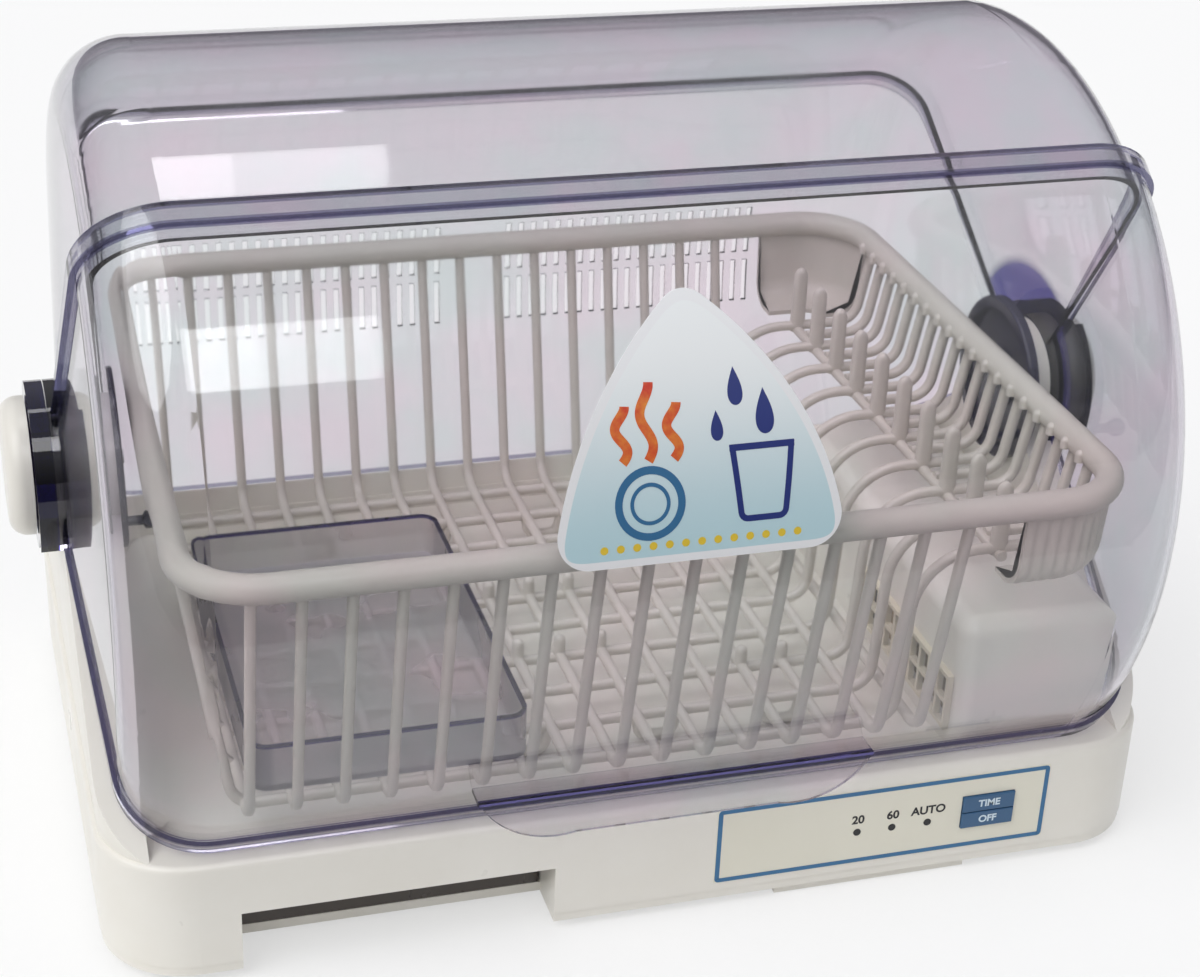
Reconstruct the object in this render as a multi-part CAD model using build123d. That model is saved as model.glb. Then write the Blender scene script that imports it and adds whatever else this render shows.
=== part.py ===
from build123d import *
import os
from math import cos, radians, sin, sqrt, tan

# Countertop dish dryer: a white base with side ears, a fixed rear cover, two swinging covers,
# a lift-out dish basket and a warm-air blower under a raised block at the right.
# Millimetres and degrees. +Z is up, the front faces -Y. Hinge angles start at the front
# horizontal and grow over the top towards the back.

# Base
FOOT_HEIGHT = 5.0
PLATE_THICK = 4.7
PLATE_INSET = 0.6
BASE_WIDTH = 500.0
BASE_DEPTH = 340.0
BASE_TOP = 62.0
BASE_CORNER = 40.0
BASE_EDGE = 3.0
WALL = 3.0
EAR_SETBACK = 2.0
EAR_THICK = 19.0
EAR_BOSS_RADIUS = 30.0
EAR_BOSS_SETBACK = 7.0
SILL_DEPTH = 6.0
PAN_SIDE = 24.0
PAN_FRONT = 18.0
PAN_CORNER = 30.0
PAN_SINK = 10.0
DRAIN_INSET = 72.0
DRAIN_Y = -60.0
DRAIN_RADIUS = 5.0

# Blower block on the right of the pan
BLOCK_WIDTH = 76.0
BLOCK_INSET = 24.0
BLOCK_LENGTH = 224.0
BLOCK_RISE = 60.0
BLOCK_EDGE = 9.0

# Hinge and covers
LID_OVERHANG = 25.0
LID_LIFT = 2.15
LID_SIDE_GAP = 1.5
LID_LEAN = 10.5
SHOULDER = 38.0
SHELL = 2.5
COVER_GAP = 1.5
LID_LOW_ANGLE = -35.0
LID_HIGH_ANGLE = 56.0
UPPER_LOW_ANGLE = 52.0
UPPER_HIGH_ANGLE = 144.0
REAR_LOW_ANGLE = 140.0
REAR_HIGH_ANGLE = 213.0
SEAT_ANGLE = 0.2
RIM_ANGLE = 2.9
RIM_PROUD = 2.6
FLANGE_ANGLE = 2.4
FLANGE_PROUD = 2.0
REAR_LIP_ANGLE = 1.2
REAR_LIP_DEPTH = 3.0
GUSSET_REACH = 120.0
GUSSET_ANGLE = 16.0
RING_RADIUS = 38.5
RING_WIDTH = 8.0
RING_GAP = 0.5
RING_CLEAR = 1.0
NECK_WIDTH = 6.0
PIN_RADIUS = 10.0
PIN_CLEARANCE = 0.05
CAP_RADIUS = 32.0
CAP_HEIGHT = 11.5
PIVOT_RADIUS = 42.0
PIVOT_THICK = 5.0
PIVOT_DISH = 3.0
PIVOT_EDGE = 1.5
STOP_ANGLE = -38.0
STOP_OFFSET = 33.0
STOP_RADIUS = 4.5
STOP_NECK = 13.0

# Lid handle and label
HANDLE_WIDTH = 182.0
HANDLE_RISE = 22.85
HANDLE_DROP = 21.0
HANDLE_OVERHANG = 15.7
HANDLE_THICK = 2.4
HANDLE_CURVE = 44.0
LABEL_THICK = 0.3
LABEL_GAP = 0.05
LABEL_WIDTH = 127.0
LABEL_HEIGHT = 105.0
LABEL_RISE = 24.5
LABEL_BULGE = 15.0
LABEL_CORNER = 14.0

# Rear vents
SLOT_WIDTH = 3.0
SLOT_PITCH = 7.0
BANK_CENTRES = (-110.0, 84.0)
BANK_COUNTS = (25, 21)
SLOT_ROWS = ((-26.0, -2.0), (3.0, 31.0))

# Drip tray and its front recess
RECESS_INSET = 58.0
RECESS_WIDTH = 141.0
RECESS_TOP = 35.0
RECESS_DEPTH = 25.0
TRAY_SIDE_GAP = 1.0
TRAY_LENGTH = 200.0
TRAY_HEIGHT = 21.0
TRAY_WALL = 2.0
TRAY_LIP = 8.0
TRAY_LIP_INSET = 30.0
SLIDE_GAP = 0.3
RAIL_HEIGHT = 6.0

# Control panel
PANEL_INSET = 59.0
PANEL_WIDTH = 166.0
PANEL_LOW = 14.0
PANEL_BELOW = 7.6
PANEL_THICK = 0.5
BUTTON_INSET = 30.5
BUTTON_WIDTH = 27.0
BUTTON_LOW = 25.0
BUTTON_HIGH = 43.0
BUTTON_SPLIT = 0.5
BUTTON_PROUD = 1.4
BUTTON_GAP = 0.35
BUTTON_FLANGE = 1.2
BUTTON_TRAVEL = 1.0
BUTTON_ROUND = 0.5
PRESS_GAP = 0.1
SWITCH_HEIGHT = 3.0
SWITCH_CAP = 1.6
SWITCH_SIDE = 6.0
LED_INSETS = (96.5, 79.0, 61.0)
LED_Z = 31.3
LED_RADIUS = 1.9
LENS_PROUD = 0.2
LENS_TAIL = 2.0
LAMP_RADIUS = 1.6
BOARD_INSET = 5.0
BOARD_WIDTH = 106.0
BOARD_LOW = 15.0
BOARD_HIGH = 47.0
BOARD_SETBACK = 12.0
BOARD_THICK = 1.6
BOARD_MARGIN = 0.5
RELAY_SIZE = (18.0, 15.0, 11.0)
TRANSFORMER_SIZE = (26.0, 22.0, 22.0)
TRANSFORMER_ROUND = 1.5
CAPACITOR_RADIUS = 5.0
CAPACITOR_LENGTH = 16.0
PART_SPACE = 9.0

# Dish basket
RIM_TUBE = 6.5
RIM_SIDE_GAP = 40.0
RIM_COVER_GAP = 20.0
RIM_RISE = 22.0
RIM_CORNER = 34.0
FLOOR_SIDE_DRAW = 21.0
FLOOR_DRAW = 29.0
FLOOR_RISE = 16.5
RIB = 5.0
RIB_COUNT = 16
RIB_START = 26.0
RIB_PAST_STEP = 7.0
FLOOR_BEND = 12.0
CROSS_COUNT = 10
CROSS_START = 13.7
STEP_INSET = 86.0
STEP_BEND = 30.0
SHELF_INSET = 42.0
SHELF_WALL_INSET = 8.0
SHELF_DROP = 44.0
PRONG_HEIGHT = 34.0
PRONG_WIDTH = 7.5
SCOOP_LENGTH = 52.0
SCOOP_DEPTH = 33.0
BASKET_FOOT_RADIUS = 3.2
BASKET_FOOT_GAP = 0.3

# Cutlery tray
CUTLERY_SIDE = 29.0
CUTLERY_START = 14.0
CUTLERY_WIDTH = 127.0
CUTLERY_DEPTH = 198.0
CUTLERY_HEIGHT = 23.0
CUTLERY_WALL = 2.0
CUTLERY_CORNER = 9.0
CUTLERY_GAP = 0.3
HOLE_RADIUS = 2.2
HOLE_PITCH = 16.0

# Blower and heater
FAN_SIDE = 36.0
FAN_BEHIND = 54.0
FAN_BELOW = 58.0
FAN_RADIUS = 37.0
FAN_WIDTH = 26.0
FAN_BLADES = 20
SCROLL_RADIUS = 45.0
SCROLL_WALL = 2.0
SCROLL_WIDTH = 34.0
LEG_SPREAD = 28.0
LEG_DEPTH = 8.0
MOTOR_RADIUS = 17.0
MOTOR_LENGTH = 15.0
MOTOR_EDGE = 2.0
SHAFT_RADIUS = 2.5
HUB_RADIUS = 6.0
BLADE_THICK = 1.2
HEATER_BEHIND = 140.0
HEATER_DEPTH = 18.0
HEATER_FIN_COUNT = 7
HEATER_WALL = 4.0
HEATER_GAP = 2.0
FIN_THICK = 2.0
INTAKE_LENGTH = 48.0
INTAKE_WIDTH = 4.0
INTAKE_PITCH = 12.0
INTAKE_COUNT = 7
GRILLE_INSET = 6.0
GRILLE_LENGTH = 108.0
GRILLE_HEIGHT = 29.0
GRILLE_THICK = 3.0
GRILLE_BAR = 2.2
GRILLE_CELL = 8.0

# Feet, screws and cord inlet
FOOT_RADIUS = 9.0
FOOT_SIDE = 36.0
FOOT_FRONT = 38.0
BAR_INSET = 97.0
BAR_WIDTH = 96.0
BAR_DEPTH = 14.0
BAR_LIFT = 0.5
BOSS_RADIUS = 4.5
SCREW_RADIUS = 1.5
SCREW_HEAD = 3.2
SCREW_SINK = 2.4
SCREW_LENGTH = 18.0
SCREW_CLEARANCE = 0.3
SCREW_DRIVE = 0.8
HINGE_SCREW_GRIP = 10.0
BOARD_SCREW_GRIP = 5.0
SCREW_SIDE = 25.0
SCREW_FRONT = 65.0
SCREW_BACK = 60.0
SCREW_EDGE = 30.0
SCREW_MIDDLE_X = -30.0
INLET_INSET = 130.0
INLET_Z = 26.0
INLET_RADIUS = 6.0
INLET_BORE = 3.6
INLET_FLANGE = 8.5
INLET_HEAD = 3.0
INLET_TAIL = 2.0

# Worked-out places: base
HALF_WIDTH = BASE_WIDTH / 2
FRONT_Y = -BASE_DEPTH / 2
BACK_Y = BASE_DEPTH / 2
PLATE_TOP = FOOT_HEIGHT + PLATE_THICK
PAN_WIDTH = BASE_WIDTH - 2 * PAN_SIDE
PAN_DEPTH = BASE_DEPTH - 2 * PAN_FRONT
PAN_FLOOR = BASE_TOP - PAN_SINK
PAN_UNDER = PAN_FLOOR - WALL
EAR_OUTER = HALF_WIDTH - EAR_SETBACK
EAR_INNER = EAR_OUTER - EAR_THICK
EAR_BOSS_OUTER = EAR_OUTER - EAR_BOSS_SETBACK
EAR_DEPTH = BASE_DEPTH - BASE_EDGE
RECESS_LEFT = RECESS_INSET - HALF_WIDTH
RECESS_RIGHT = RECESS_LEFT + RECESS_WIDTH
DRAIN_X = RECESS_LEFT + DRAIN_INSET
FOOT_X = HALF_WIDTH - FOOT_SIDE
FOOT_Y = BACK_Y - FOOT_FRONT
BAR_RIGHT = HALF_WIDTH - BAR_INSET
BAR_LEFT = BAR_RIGHT - BAR_WIDTH
SCREW_X = HALF_WIDTH - SCREW_SIDE
SCREW_YS = (FRONT_Y + SCREW_FRONT, BACK_Y - SCREW_BACK)
SCREW_PLACES = [(x, y) for x in (-SCREW_X, SCREW_X) for y in SCREW_YS]
SCREW_PLACES += [(SCREW_MIDDLE_X, FRONT_Y + SCREW_EDGE), (SCREW_MIDDLE_X, BACK_Y - SCREW_EDGE)]
INLET_X = HALF_WIDTH - INLET_INSET

# Worked-out places: hinge and covers
LID_RADIUS = BASE_DEPTH / 2 + LID_OVERHANG
HUB_Z = BASE_TOP + LID_RADIUS * sin(radians(-LID_LOW_ANGLE)) + LID_LIFT
HINGE = Axis((0, 0, HUB_Z), (1, 0, 0))
LID_HALF_AT_HUB = EAR_OUTER - LID_SIDE_GAP
LID_HALF_AT_RIM = LID_HALF_AT_HUB - LID_LEAN
UPPER_INSET = SHELL + COVER_GAP
REAR_INSET = 2 * UPPER_INSET
CENTRE_SHIFT = REAR_INSET / 2
WALL_START = RING_RADIUS + RING_CLEAR
UPPER_START = EAR_BOSS_RADIUS + COVER_GAP
UPPER_RING_IN = EAR_BOSS_OUTER + RING_GAP
LID_RING_IN = UPPER_RING_IN + RING_WIDTH + RING_GAP
CAP_IN = LID_RING_IN + RING_WIDTH + RING_GAP
REAR_SLOPE = tan(radians(REAR_HIGH_ANGLE - 180 + SEAT_ANGLE))
HANDLE_TOP = BASE_TOP + LID_LIFT + HANDLE_RISE

# Worked-out places: control panel
PANEL_RIGHT = HALF_WIDTH - PANEL_INSET
PANEL_LEFT = PANEL_RIGHT - PANEL_WIDTH
PANEL_HIGH = BASE_TOP - PANEL_BELOW
BUTTON_X = PANEL_RIGHT - BUTTON_INSET
BUTTON_MIDDLE = (BUTTON_LOW + BUTTON_HIGH) / 2
LED_XS = [PANEL_RIGHT - inset for inset in LED_INSETS]
BOARD_RIGHT = PANEL_RIGHT - BOARD_INSET
BOARD_LEFT = BOARD_RIGHT - BOARD_WIDTH

# Worked-out places: basket and cutlery tray
RIM_HALF_X = HALF_WIDTH - RIM_SIDE_GAP
RIM_HALF_Y = LID_RADIUS - RIM_COVER_GAP
RIM_Z = HUB_Z + RIM_RISE
FLOOR_LEFT = FLOOR_SIDE_DRAW - RIM_HALF_X
FLOOR_HALF_Y = RIM_HALF_Y - FLOOR_DRAW
FLOOR_Z = PAN_FLOOR + FLOOR_RISE
FLOOR_TOP = FLOOR_Z + RIB / 2
STEP_X = RIM_HALF_X - STEP_INSET
SHELF_LEFT = RIM_HALF_X - SHELF_INSET
SHELF_RIGHT = RIM_HALF_X - SHELF_WALL_INSET
SHELF_Z = RIM_Z - SHELF_DROP
SHELF_TOP = SHELF_Z + RIB / 2
SHELF_END = SHELF_RIGHT - FLOOR_BEND
SCOOP_X = RIM_HALF_X - SCOOP_LENGTH
SCOOP_Y = RIM_HALF_Y - SCOOP_DEPTH
RIB_FIRST_X = RIB_START - RIM_HALF_X
RIB_PITCH = (STEP_X + RIB_PAST_STEP - RIB_FIRST_X) / (RIB_COUNT - 1)
CROSS_PITCH = 2 * (FLOOR_HALF_Y - CROSS_START) / (CROSS_COUNT - 1)
CUTLERY_LEFT = CUTLERY_SIDE - RIM_HALF_X
CUTLERY_FRONT = CUTLERY_START - FLOOR_HALF_Y

# Worked-out places: blower
BLOCK_LEFT = PAN_WIDTH / 2 - BLOCK_WIDTH
BLOCK_FRONT = FRONT_Y + BLOCK_INSET
BLOCK_BACK = BLOCK_FRONT + BLOCK_LENGTH
BLOCK_TOP = BASE_TOP + BLOCK_RISE
FAN_X = PAN_WIDTH / 2 - FAN_SIDE
FAN_Y = BLOCK_BACK - FAN_BEHIND
FAN_Z = BLOCK_TOP - FAN_BELOW
HEATER_Y = BLOCK_BACK - HEATER_BEHIND
GRILLE_FRONT = BLOCK_FRONT + GRILLE_INSET
GRILLE_BACK = GRILLE_FRONT + GRILLE_LENGTH
GRILLE_LOW = BASE_TOP
GRILLE_HIGH = GRILLE_LOW + GRILLE_HEIGHT


def block(x0, x1, y0, y1, z0, z1):
    """A box between two corners."""
    middle = Pos((x0 + x1) / 2, (y0 + y1) / 2, (z0 + z1) / 2)
    return middle * Box(x1 - x0, y1 - y0, z1 - z0)


def rounded_block(width, depth, corner, z0, z1):
    """An upright box about the Z axis with round vertical corners."""
    return Pos(0, 0, z0) * extrude(RectangleRounded(width, depth, corner), z1 - z0)


def along_x(radius, x0, x1, y, z):
    """A cylinder along X."""
    return Pos((x0 + x1) / 2, y, z) * Rot(0, 90, 0) * Cylinder(radius, x1 - x0)


def along_y(radius, y0, y1, x, z):
    """A cylinder along Y."""
    return Pos(x, (y0 + y1) / 2, z) * Rot(90, 0, 0) * Cylinder(radius, y1 - y0)


def upright(radius, x, y, z0, z1):
    """A cylinder along Z."""
    return Pos(x, y, (z0 + z1) / 2) * Cylinder(radius, z1 - z0)


def slab_yz(points, x0, x1):
    """A flat outline in the Y-Z plane, thickened from x0 to x1."""
    face = make_face(Polyline(*[(0, y, z) for y, z in points], close=True))
    return Pos(x0, 0, 0) * extrude(face, x1 - x0, dir=(1, 0, 0))


def hinge_point(angle, radius):
    """Y and Z of a point at an angle and radius about the hinge."""
    return -radius * cos(radians(angle)), HUB_Z + radius * sin(radians(angle))


def both_sides(make):
    """The left and right copies of a piece that make(x_sign) returns."""
    return [make(-1), make(1)]


def half_width(radius):
    """Half width of the front lid's side walls, which lean in towards the crown."""
    share = (radius - WALL_START) / (LID_RADIUS - WALL_START)
    return LID_HALF_AT_HUB + (LID_HALF_AT_RIM - LID_HALF_AT_HUB) * share


def cover_section(inset, start):
    """Cross-section of the dome, from the hinge side up to a crown with round shoulders."""
    foot = half_width(start) - inset
    top = LID_HALF_AT_RIM - inset
    crown = LID_RADIUS - inset
    section = make_face(Polyline((-foot, start), (-top, crown), (top, crown), (foot, start), close=True))
    return fillet(section.vertices().group_by(Axis.Y)[-1], SHOULDER - inset)


def swing(section, low, high):
    """Turn a section about the hinge from one angle to another."""
    upright_face = Plane.XZ * Pos(0, HUB_Z) * section
    start = upright_face.rotate(HINGE, 90 - high)
    return revolve(start, HINGE, high - low)


def dome(outer, inner, start, low, high):
    """A dome-shaped band between two insets."""
    return swing(cover_section(outer, start) - cover_section(inner, start - SHELL), low, high)


def hub_ring(x_in):
    """Hinge rings of one cover, one at each side, with a running bore for the pin."""
    bore = PIN_RADIUS + PIN_CLEARANCE
    rings = []
    for side in (-1, 1):
        ends = sorted((side * x_in, side * (x_in + RING_WIDTH)))
        rings.append(along_x(RING_RADIUS, *ends, 0, HUB_Z) - along_x(bore, *ends, 0, HUB_Z))
    return rings


def strip(points, bend, plane):
    """Flat-sided rib along a bent line drawn in a plane."""
    line = FilletPolyline(*points, radius=bend)
    return extrude(plane * trace(line, RIB), RIB / 2, both=True)


def save(shape, name):
    """Write one node with the box centred over the origin."""
    pieces = shape if isinstance(shape, (list, tuple)) else [shape]
    solids = [solid for piece in pieces for solid in piece.solids()]
    moved = [Pos(0, CENTRE_SHIFT, 0) * solid for solid in solids]
    group = moved[0] if len(moved) == 1 else Compound(children=moved)
    group.label = name
    export_step(group, f"parts/{name}.step")


# Base housing: walls, pan, ears and blower block in one moulding
def base_housing():
    inset = 2 * WALL
    shell = rounded_block(BASE_WIDTH, BASE_DEPTH, BASE_CORNER, PLATE_TOP, BASE_TOP)
    shell = fillet(shell.edges().group_by(Axis.Z)[-1], BASE_EDGE)
    under_top = BASE_TOP - WALL
    inside = rounded_block(BASE_WIDTH - inset, BASE_DEPTH - inset, BASE_CORNER - WALL, PLATE_TOP, under_top)
    inside -= rounded_block(PAN_WIDTH + inset, PAN_DEPTH + inset, PAN_CORNER + WALL, PAN_UNDER, BASE_TOP)
    pan = rounded_block(PAN_WIDTH, PAN_DEPTH, PAN_CORNER, PAN_FLOOR, BASE_TOP)
    housing = shell - inside - pan
    housing = housing + [ear(side) for side in (-1, 1)] + rear_sill()
    housing = housing - [ear_hollow(side) for side in (-1, 1)]
    housing = housing + blower_block() - blower_room()
    housing = housing + recess_walls() - recess_space()
    housing = housing + [boss(x, y) for x, y in SCREW_PLACES] + board_posts()
    cuts = [boss_bore(x, y) for x, y in SCREW_PLACES] + board_bores()
    cuts += [upright(DRAIN_RADIUS, DRAIN_X, DRAIN_Y, PAN_UNDER - 1, PAN_FLOOR + 1)]
    cuts += [button_window(), grille_window()]
    cuts += [along_y(LED_RADIUS, FRONT_Y - 1, FRONT_Y + WALL + 1, x, LED_Z) for x in LED_XS]
    cuts += [along_y(INLET_RADIUS, BACK_Y - WALL - 1, BACK_Y + 1, INLET_X, INLET_Z)]
    cuts += [along_x(PIN_RADIUS + PIN_CLEARANCE, -EAR_OUTER, EAR_OUTER, 0, HUB_Z)]
    return housing - cuts


def ear_outline(shrink):
    """Side ear below the seats of the front lid and the rear cover."""
    top = HUB_Z - shrink / cos(radians(LID_LOW_ANGLE))
    low = BASE_TOP - BASE_EDGE
    front_run = (top - low) / tan(radians(SEAT_ANGLE - LID_LOW_ANGLE))
    rear_run = (top - low) / REAR_SLOPE
    return [(0, top), (-front_run, low), (rear_run, low)]


def rear_sill():
    """Ledge across the back, under the rear cover's lower edge."""
    middle = (LID_RADIUS - REAR_INSET - SHELL / 2) * cos(radians(REAR_HIGH_ANGLE - 180))
    front = middle - SILL_DEPTH / 2
    back = middle + SILL_DEPTH / 2
    low = BASE_TOP - BASE_EDGE
    top_line = [(front, HUB_Z - front * REAR_SLOPE), (back, HUB_Z - back * REAR_SLOPE)]
    return slab_yz(top_line + [(back, low), (front, low)], -EAR_INNER, EAR_INNER)


def ear(side):
    ends = sorted((side * EAR_INNER, side * EAR_OUTER))
    plate = slab_yz(ear_outline(0), *ends)
    boss_ends = sorted((side * EAR_INNER, side * EAR_BOSS_OUTER))
    clear_ends = sorted((side * EAR_BOSS_OUTER, side * (EAR_OUTER + 1)))
    plate -= along_x(RING_RADIUS + RING_CLEAR, *clear_ends, 0, HUB_Z)
    plate = plate & rounded_block(2 * EAR_OUTER, EAR_DEPTH, BASE_CORNER, PLATE_TOP, HUB_Z)
    return plate + along_x(EAR_BOSS_RADIUS, *boss_ends, 0, HUB_Z)


def ear_hollow(side):
    ends = sorted((side * (EAR_INNER + WALL), side * (EAR_OUTER - WALL)))
    hollow = slab_yz(ear_outline(WALL), *ends)
    corner = BASE_CORNER - WALL
    hollow = hollow & rounded_block(2 * (EAR_OUTER - WALL), EAR_DEPTH - 2 * WALL, corner, PLATE_TOP, HUB_Z)
    return hollow - along_x(RING_RADIUS + RING_CLEAR + WALL, *ends, 0, HUB_Z)


def blower_block():
    right = PAN_WIDTH / 2 + WALL
    body = block(BLOCK_LEFT, right, BLOCK_FRONT, BLOCK_BACK, PAN_UNDER, BLOCK_TOP)
    return hood(body, BLOCK_EDGE)


def blower_room():
    right = PAN_WIDTH / 2
    front = BLOCK_FRONT + WALL
    room = block(BLOCK_LEFT + WALL, right, front, BLOCK_BACK - WALL, PLATE_TOP, BLOCK_TOP - WALL)
    return hood(room, BLOCK_EDGE - WALL)


def hood(body, radius):
    """Round the top edges and the upright edges on the left."""
    rounded = body.edges().group_by(Axis.Z)[-1] + body.edges().filter_by(Axis.Z).group_by(Axis.X)[0]
    return fillet(rounded, radius)


def recess_walls():
    left = RECESS_LEFT - WALL
    right = RECESS_RIGHT + WALL
    return block(left, right, FRONT_Y + WALL / 2, FRONT_Y + RECESS_DEPTH, PLATE_TOP, RECESS_TOP + WALL)


def recess_space():
    back = FRONT_Y + RECESS_DEPTH
    return block(RECESS_LEFT, RECESS_RIGHT, FRONT_Y - 1, back + 1, PLATE_TOP - 1, RECESS_TOP)


def boss(x, y):
    return upright(BOSS_RADIUS, x, y, PLATE_TOP, PAN_UNDER + WALL / 2)


def boss_bore(x, y):
    return upright(SCREW_RADIUS + PIN_CLEARANCE, x, y, PLATE_TOP - 1, PLATE_TOP + SCREW_LENGTH)


def board_places():
    edge = BOSS_RADIUS + BOARD_MARGIN
    columns = (BOARD_LEFT + edge, BOARD_RIGHT - edge)
    rows = (BOARD_LOW + edge, BOARD_HIGH - edge)
    return [(x, z) for x in columns for z in rows]


def board_posts():
    face = FRONT_Y + BOARD_SETBACK
    return [along_y(BOSS_RADIUS, FRONT_Y + WALL / 2, face, x, z) for x, z in board_places()]


def board_bores():
    face = FRONT_Y + BOARD_SETBACK
    start = FRONT_Y + WALL + 1
    return [along_y(SCREW_RADIUS + PIN_CLEARANCE, start, face + 1, x, z) for x, z in board_places()]


def button_window():
    half = BUTTON_WIDTH / 2
    return block(BUTTON_X - half, BUTTON_X + half, FRONT_Y - 1, FRONT_Y + WALL + 1, BUTTON_LOW, BUTTON_HIGH)


def grille_window():
    edge = GRILLE_BAR
    return block(
        BLOCK_LEFT - 1, BLOCK_LEFT + WALL + 1,
        GRILLE_FRONT + edge, GRILLE_BACK - edge, GRILLE_LOW + edge, GRILLE_HIGH - edge,
    )


# Bottom plate with tray rails, air slots and the front foot bar
def bottom_plate():
    inset = 2 * PLATE_INSET
    corner = BASE_CORNER - PLATE_INSET
    plate = rounded_block(BASE_WIDTH - inset, BASE_DEPTH - inset, corner, FOOT_HEIGHT, PLATE_TOP)
    notch_back = FRONT_Y + RECESS_DEPTH
    plate -= block(RECESS_LEFT, RECESS_RIGHT, FRONT_Y - 1, notch_back, FOOT_HEIGHT - 1, PLATE_TOP + 1)
    bar_front = FRONT_Y + BASE_EDGE
    plate += block(BAR_LEFT, BAR_RIGHT, bar_front, bar_front + BAR_DEPTH, BAR_LIFT, FOOT_HEIGHT)
    tray_back = notch_back + TRAY_LENGTH
    rails = []
    for edge in (RECESS_LEFT, RECESS_RIGHT):
        low = edge - WALL if edge == RECESS_LEFT else edge
        rails.append(block(low, low + WALL, notch_back, tray_back, PLATE_TOP, PLATE_TOP + RAIL_HEIGHT))
    stop = tray_back + SLIDE_GAP
    rail_top = PLATE_TOP + RAIL_HEIGHT
    rails.append(block(RECESS_LEFT - WALL, RECESS_RIGHT + WALL, stop, stop + WALL, PLATE_TOP, rail_top))
    slots = []
    slot_left = FAN_X - INTAKE_LENGTH / 2
    for index in range(INTAKE_COUNT):
        y = FAN_Y + (index - (INTAKE_COUNT - 1) / 2) * INTAKE_PITCH
        front = y - INTAKE_WIDTH / 2
        back = y + INTAKE_WIDTH / 2
        right = slot_left + INTAKE_LENGTH
        slots.append(block(slot_left, right, front, back, FOOT_HEIGHT - 1, PLATE_TOP + 1))
    for x, y in SCREW_PLACES:
        slots.append(upright(SCREW_RADIUS + SCREW_CLEARANCE, x, y, FOOT_HEIGHT - 1, PLATE_TOP + 1))
        slots.append(upright(SCREW_HEAD + SCREW_CLEARANCE, x, y, FOOT_HEIGHT - 1, FOOT_HEIGHT + SCREW_SINK))
    return plate + rails - slots


def rubber_feet():
    places = [(x, y) for x in (-FOOT_X, FOOT_X) for y in (-FOOT_Y, FOOT_Y)]
    foot = Cone(FOOT_RADIUS * 0.85, FOOT_RADIUS, FOOT_HEIGHT)
    return [Pos(x, y, FOOT_HEIGHT / 2) * foot for x, y in places]


def base_screws():
    return [screw(SCREW_LENGTH - 1).moved(Pos(x, y, FOOT_HEIGHT + SCREW_SINK)) for x, y in SCREW_PLACES]


def screw(length):
    """Pan-head screw, head down, shank up from the origin."""
    reach = SCREW_HEAD * 0.6
    head = upright(SCREW_HEAD, 0, 0, -reach, 0)
    shank = upright(SCREW_RADIUS, 0, 0, 0, length)
    drive = block(-reach, reach, -SCREW_DRIVE / 2, SCREW_DRIVE / 2, -reach, -reach / 2)
    drive += Rot(0, 0, 90) * drive
    return head + shank - drive


# Drip tray
def drip_tray():
    left = RECESS_LEFT + TRAY_SIDE_GAP
    right = RECESS_RIGHT - TRAY_SIDE_GAP
    front = FRONT_Y + RECESS_DEPTH
    back = front + TRAY_LENGTH
    low = PLATE_TOP + SLIDE_GAP
    high = low + TRAY_HEIGHT
    body = block(left, right, front, back, low, high)
    hollow = block(
        left + TRAY_WALL, right - TRAY_WALL, front + TRAY_WALL, back - TRAY_WALL, low + TRAY_WALL, high + 1,
    )
    lip_left = left + TRAY_LIP_INSET
    lip_right = right - TRAY_LIP_INSET
    lip = block(lip_left, lip_right, front - TRAY_LIP, front, high - TRAY_WALL, high)
    return body - hollow + lip


# Control panel, buttons, lamps and board
def control_panel():
    face = FRONT_Y - PANEL_THICK
    panel = block(PANEL_LEFT, PANEL_RIGHT, face, FRONT_Y, PANEL_LOW, PANEL_HIGH)
    holes = [along_y(LED_RADIUS, face - 1, FRONT_Y + 1, x, LED_Z) for x in LED_XS]
    return panel - holes - button_window()


def push_button(low, high):
    half = BUTTON_WIDTH / 2 - BUTTON_GAP
    face = FRONT_Y - PANEL_THICK - BUTTON_PROUD
    inner = FRONT_Y + WALL + BUTTON_GAP
    key = block(BUTTON_X - half, BUTTON_X + half, face, inner, low, high)
    key = fillet(key.edges().group_by(Axis.Y)[0], BUTTON_ROUND)
    flange = block(
        BUTTON_X - half - BUTTON_FLANGE, BUTTON_X + half + BUTTON_FLANGE,
        inner, inner + BUTTON_FLANGE, low, high,
    )
    stem_z = (low + high) / 2
    stem_end = FRONT_Y + BOARD_SETBACK - SWITCH_HEIGHT - BUTTON_TRAVEL - PRESS_GAP
    return key + flange + along_y(SWITCH_CAP, inner, stem_end, BUTTON_X, stem_z)


def time_button():
    return push_button(BUTTON_MIDDLE + BUTTON_SPLIT / 2, BUTTON_HIGH - BUTTON_GAP)


def off_button():
    return push_button(BUTTON_LOW + BUTTON_GAP, BUTTON_MIDDLE - BUTTON_SPLIT / 2)


def tact_switches():
    board = FRONT_Y + BOARD_SETBACK
    quarter = (BUTTON_HIGH - BUTTON_LOW) / 4
    places = (BUTTON_MIDDLE - quarter, BUTTON_MIDDLE + quarter)
    half = SWITCH_SIDE / 2
    top = board - SWITCH_HEIGHT
    return [block(BUTTON_X - half, BUTTON_X + half, top, board, z - half, z + half) for z in places]


def indicator_lenses():
    face = FRONT_Y - PANEL_THICK - LENS_PROUD
    back = FRONT_Y + WALL + LENS_TAIL
    lens = LED_RADIUS - PIN_CLEARANCE
    return [along_y(lens, face, back, x, LED_Z) for x in LED_XS]


def status_lamps():
    start = FRONT_Y + WALL + LENS_TAIL
    board = FRONT_Y + BOARD_SETBACK
    return [along_y(LAMP_RADIUS, start, board, x, LED_Z) for x in LED_XS]


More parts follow.
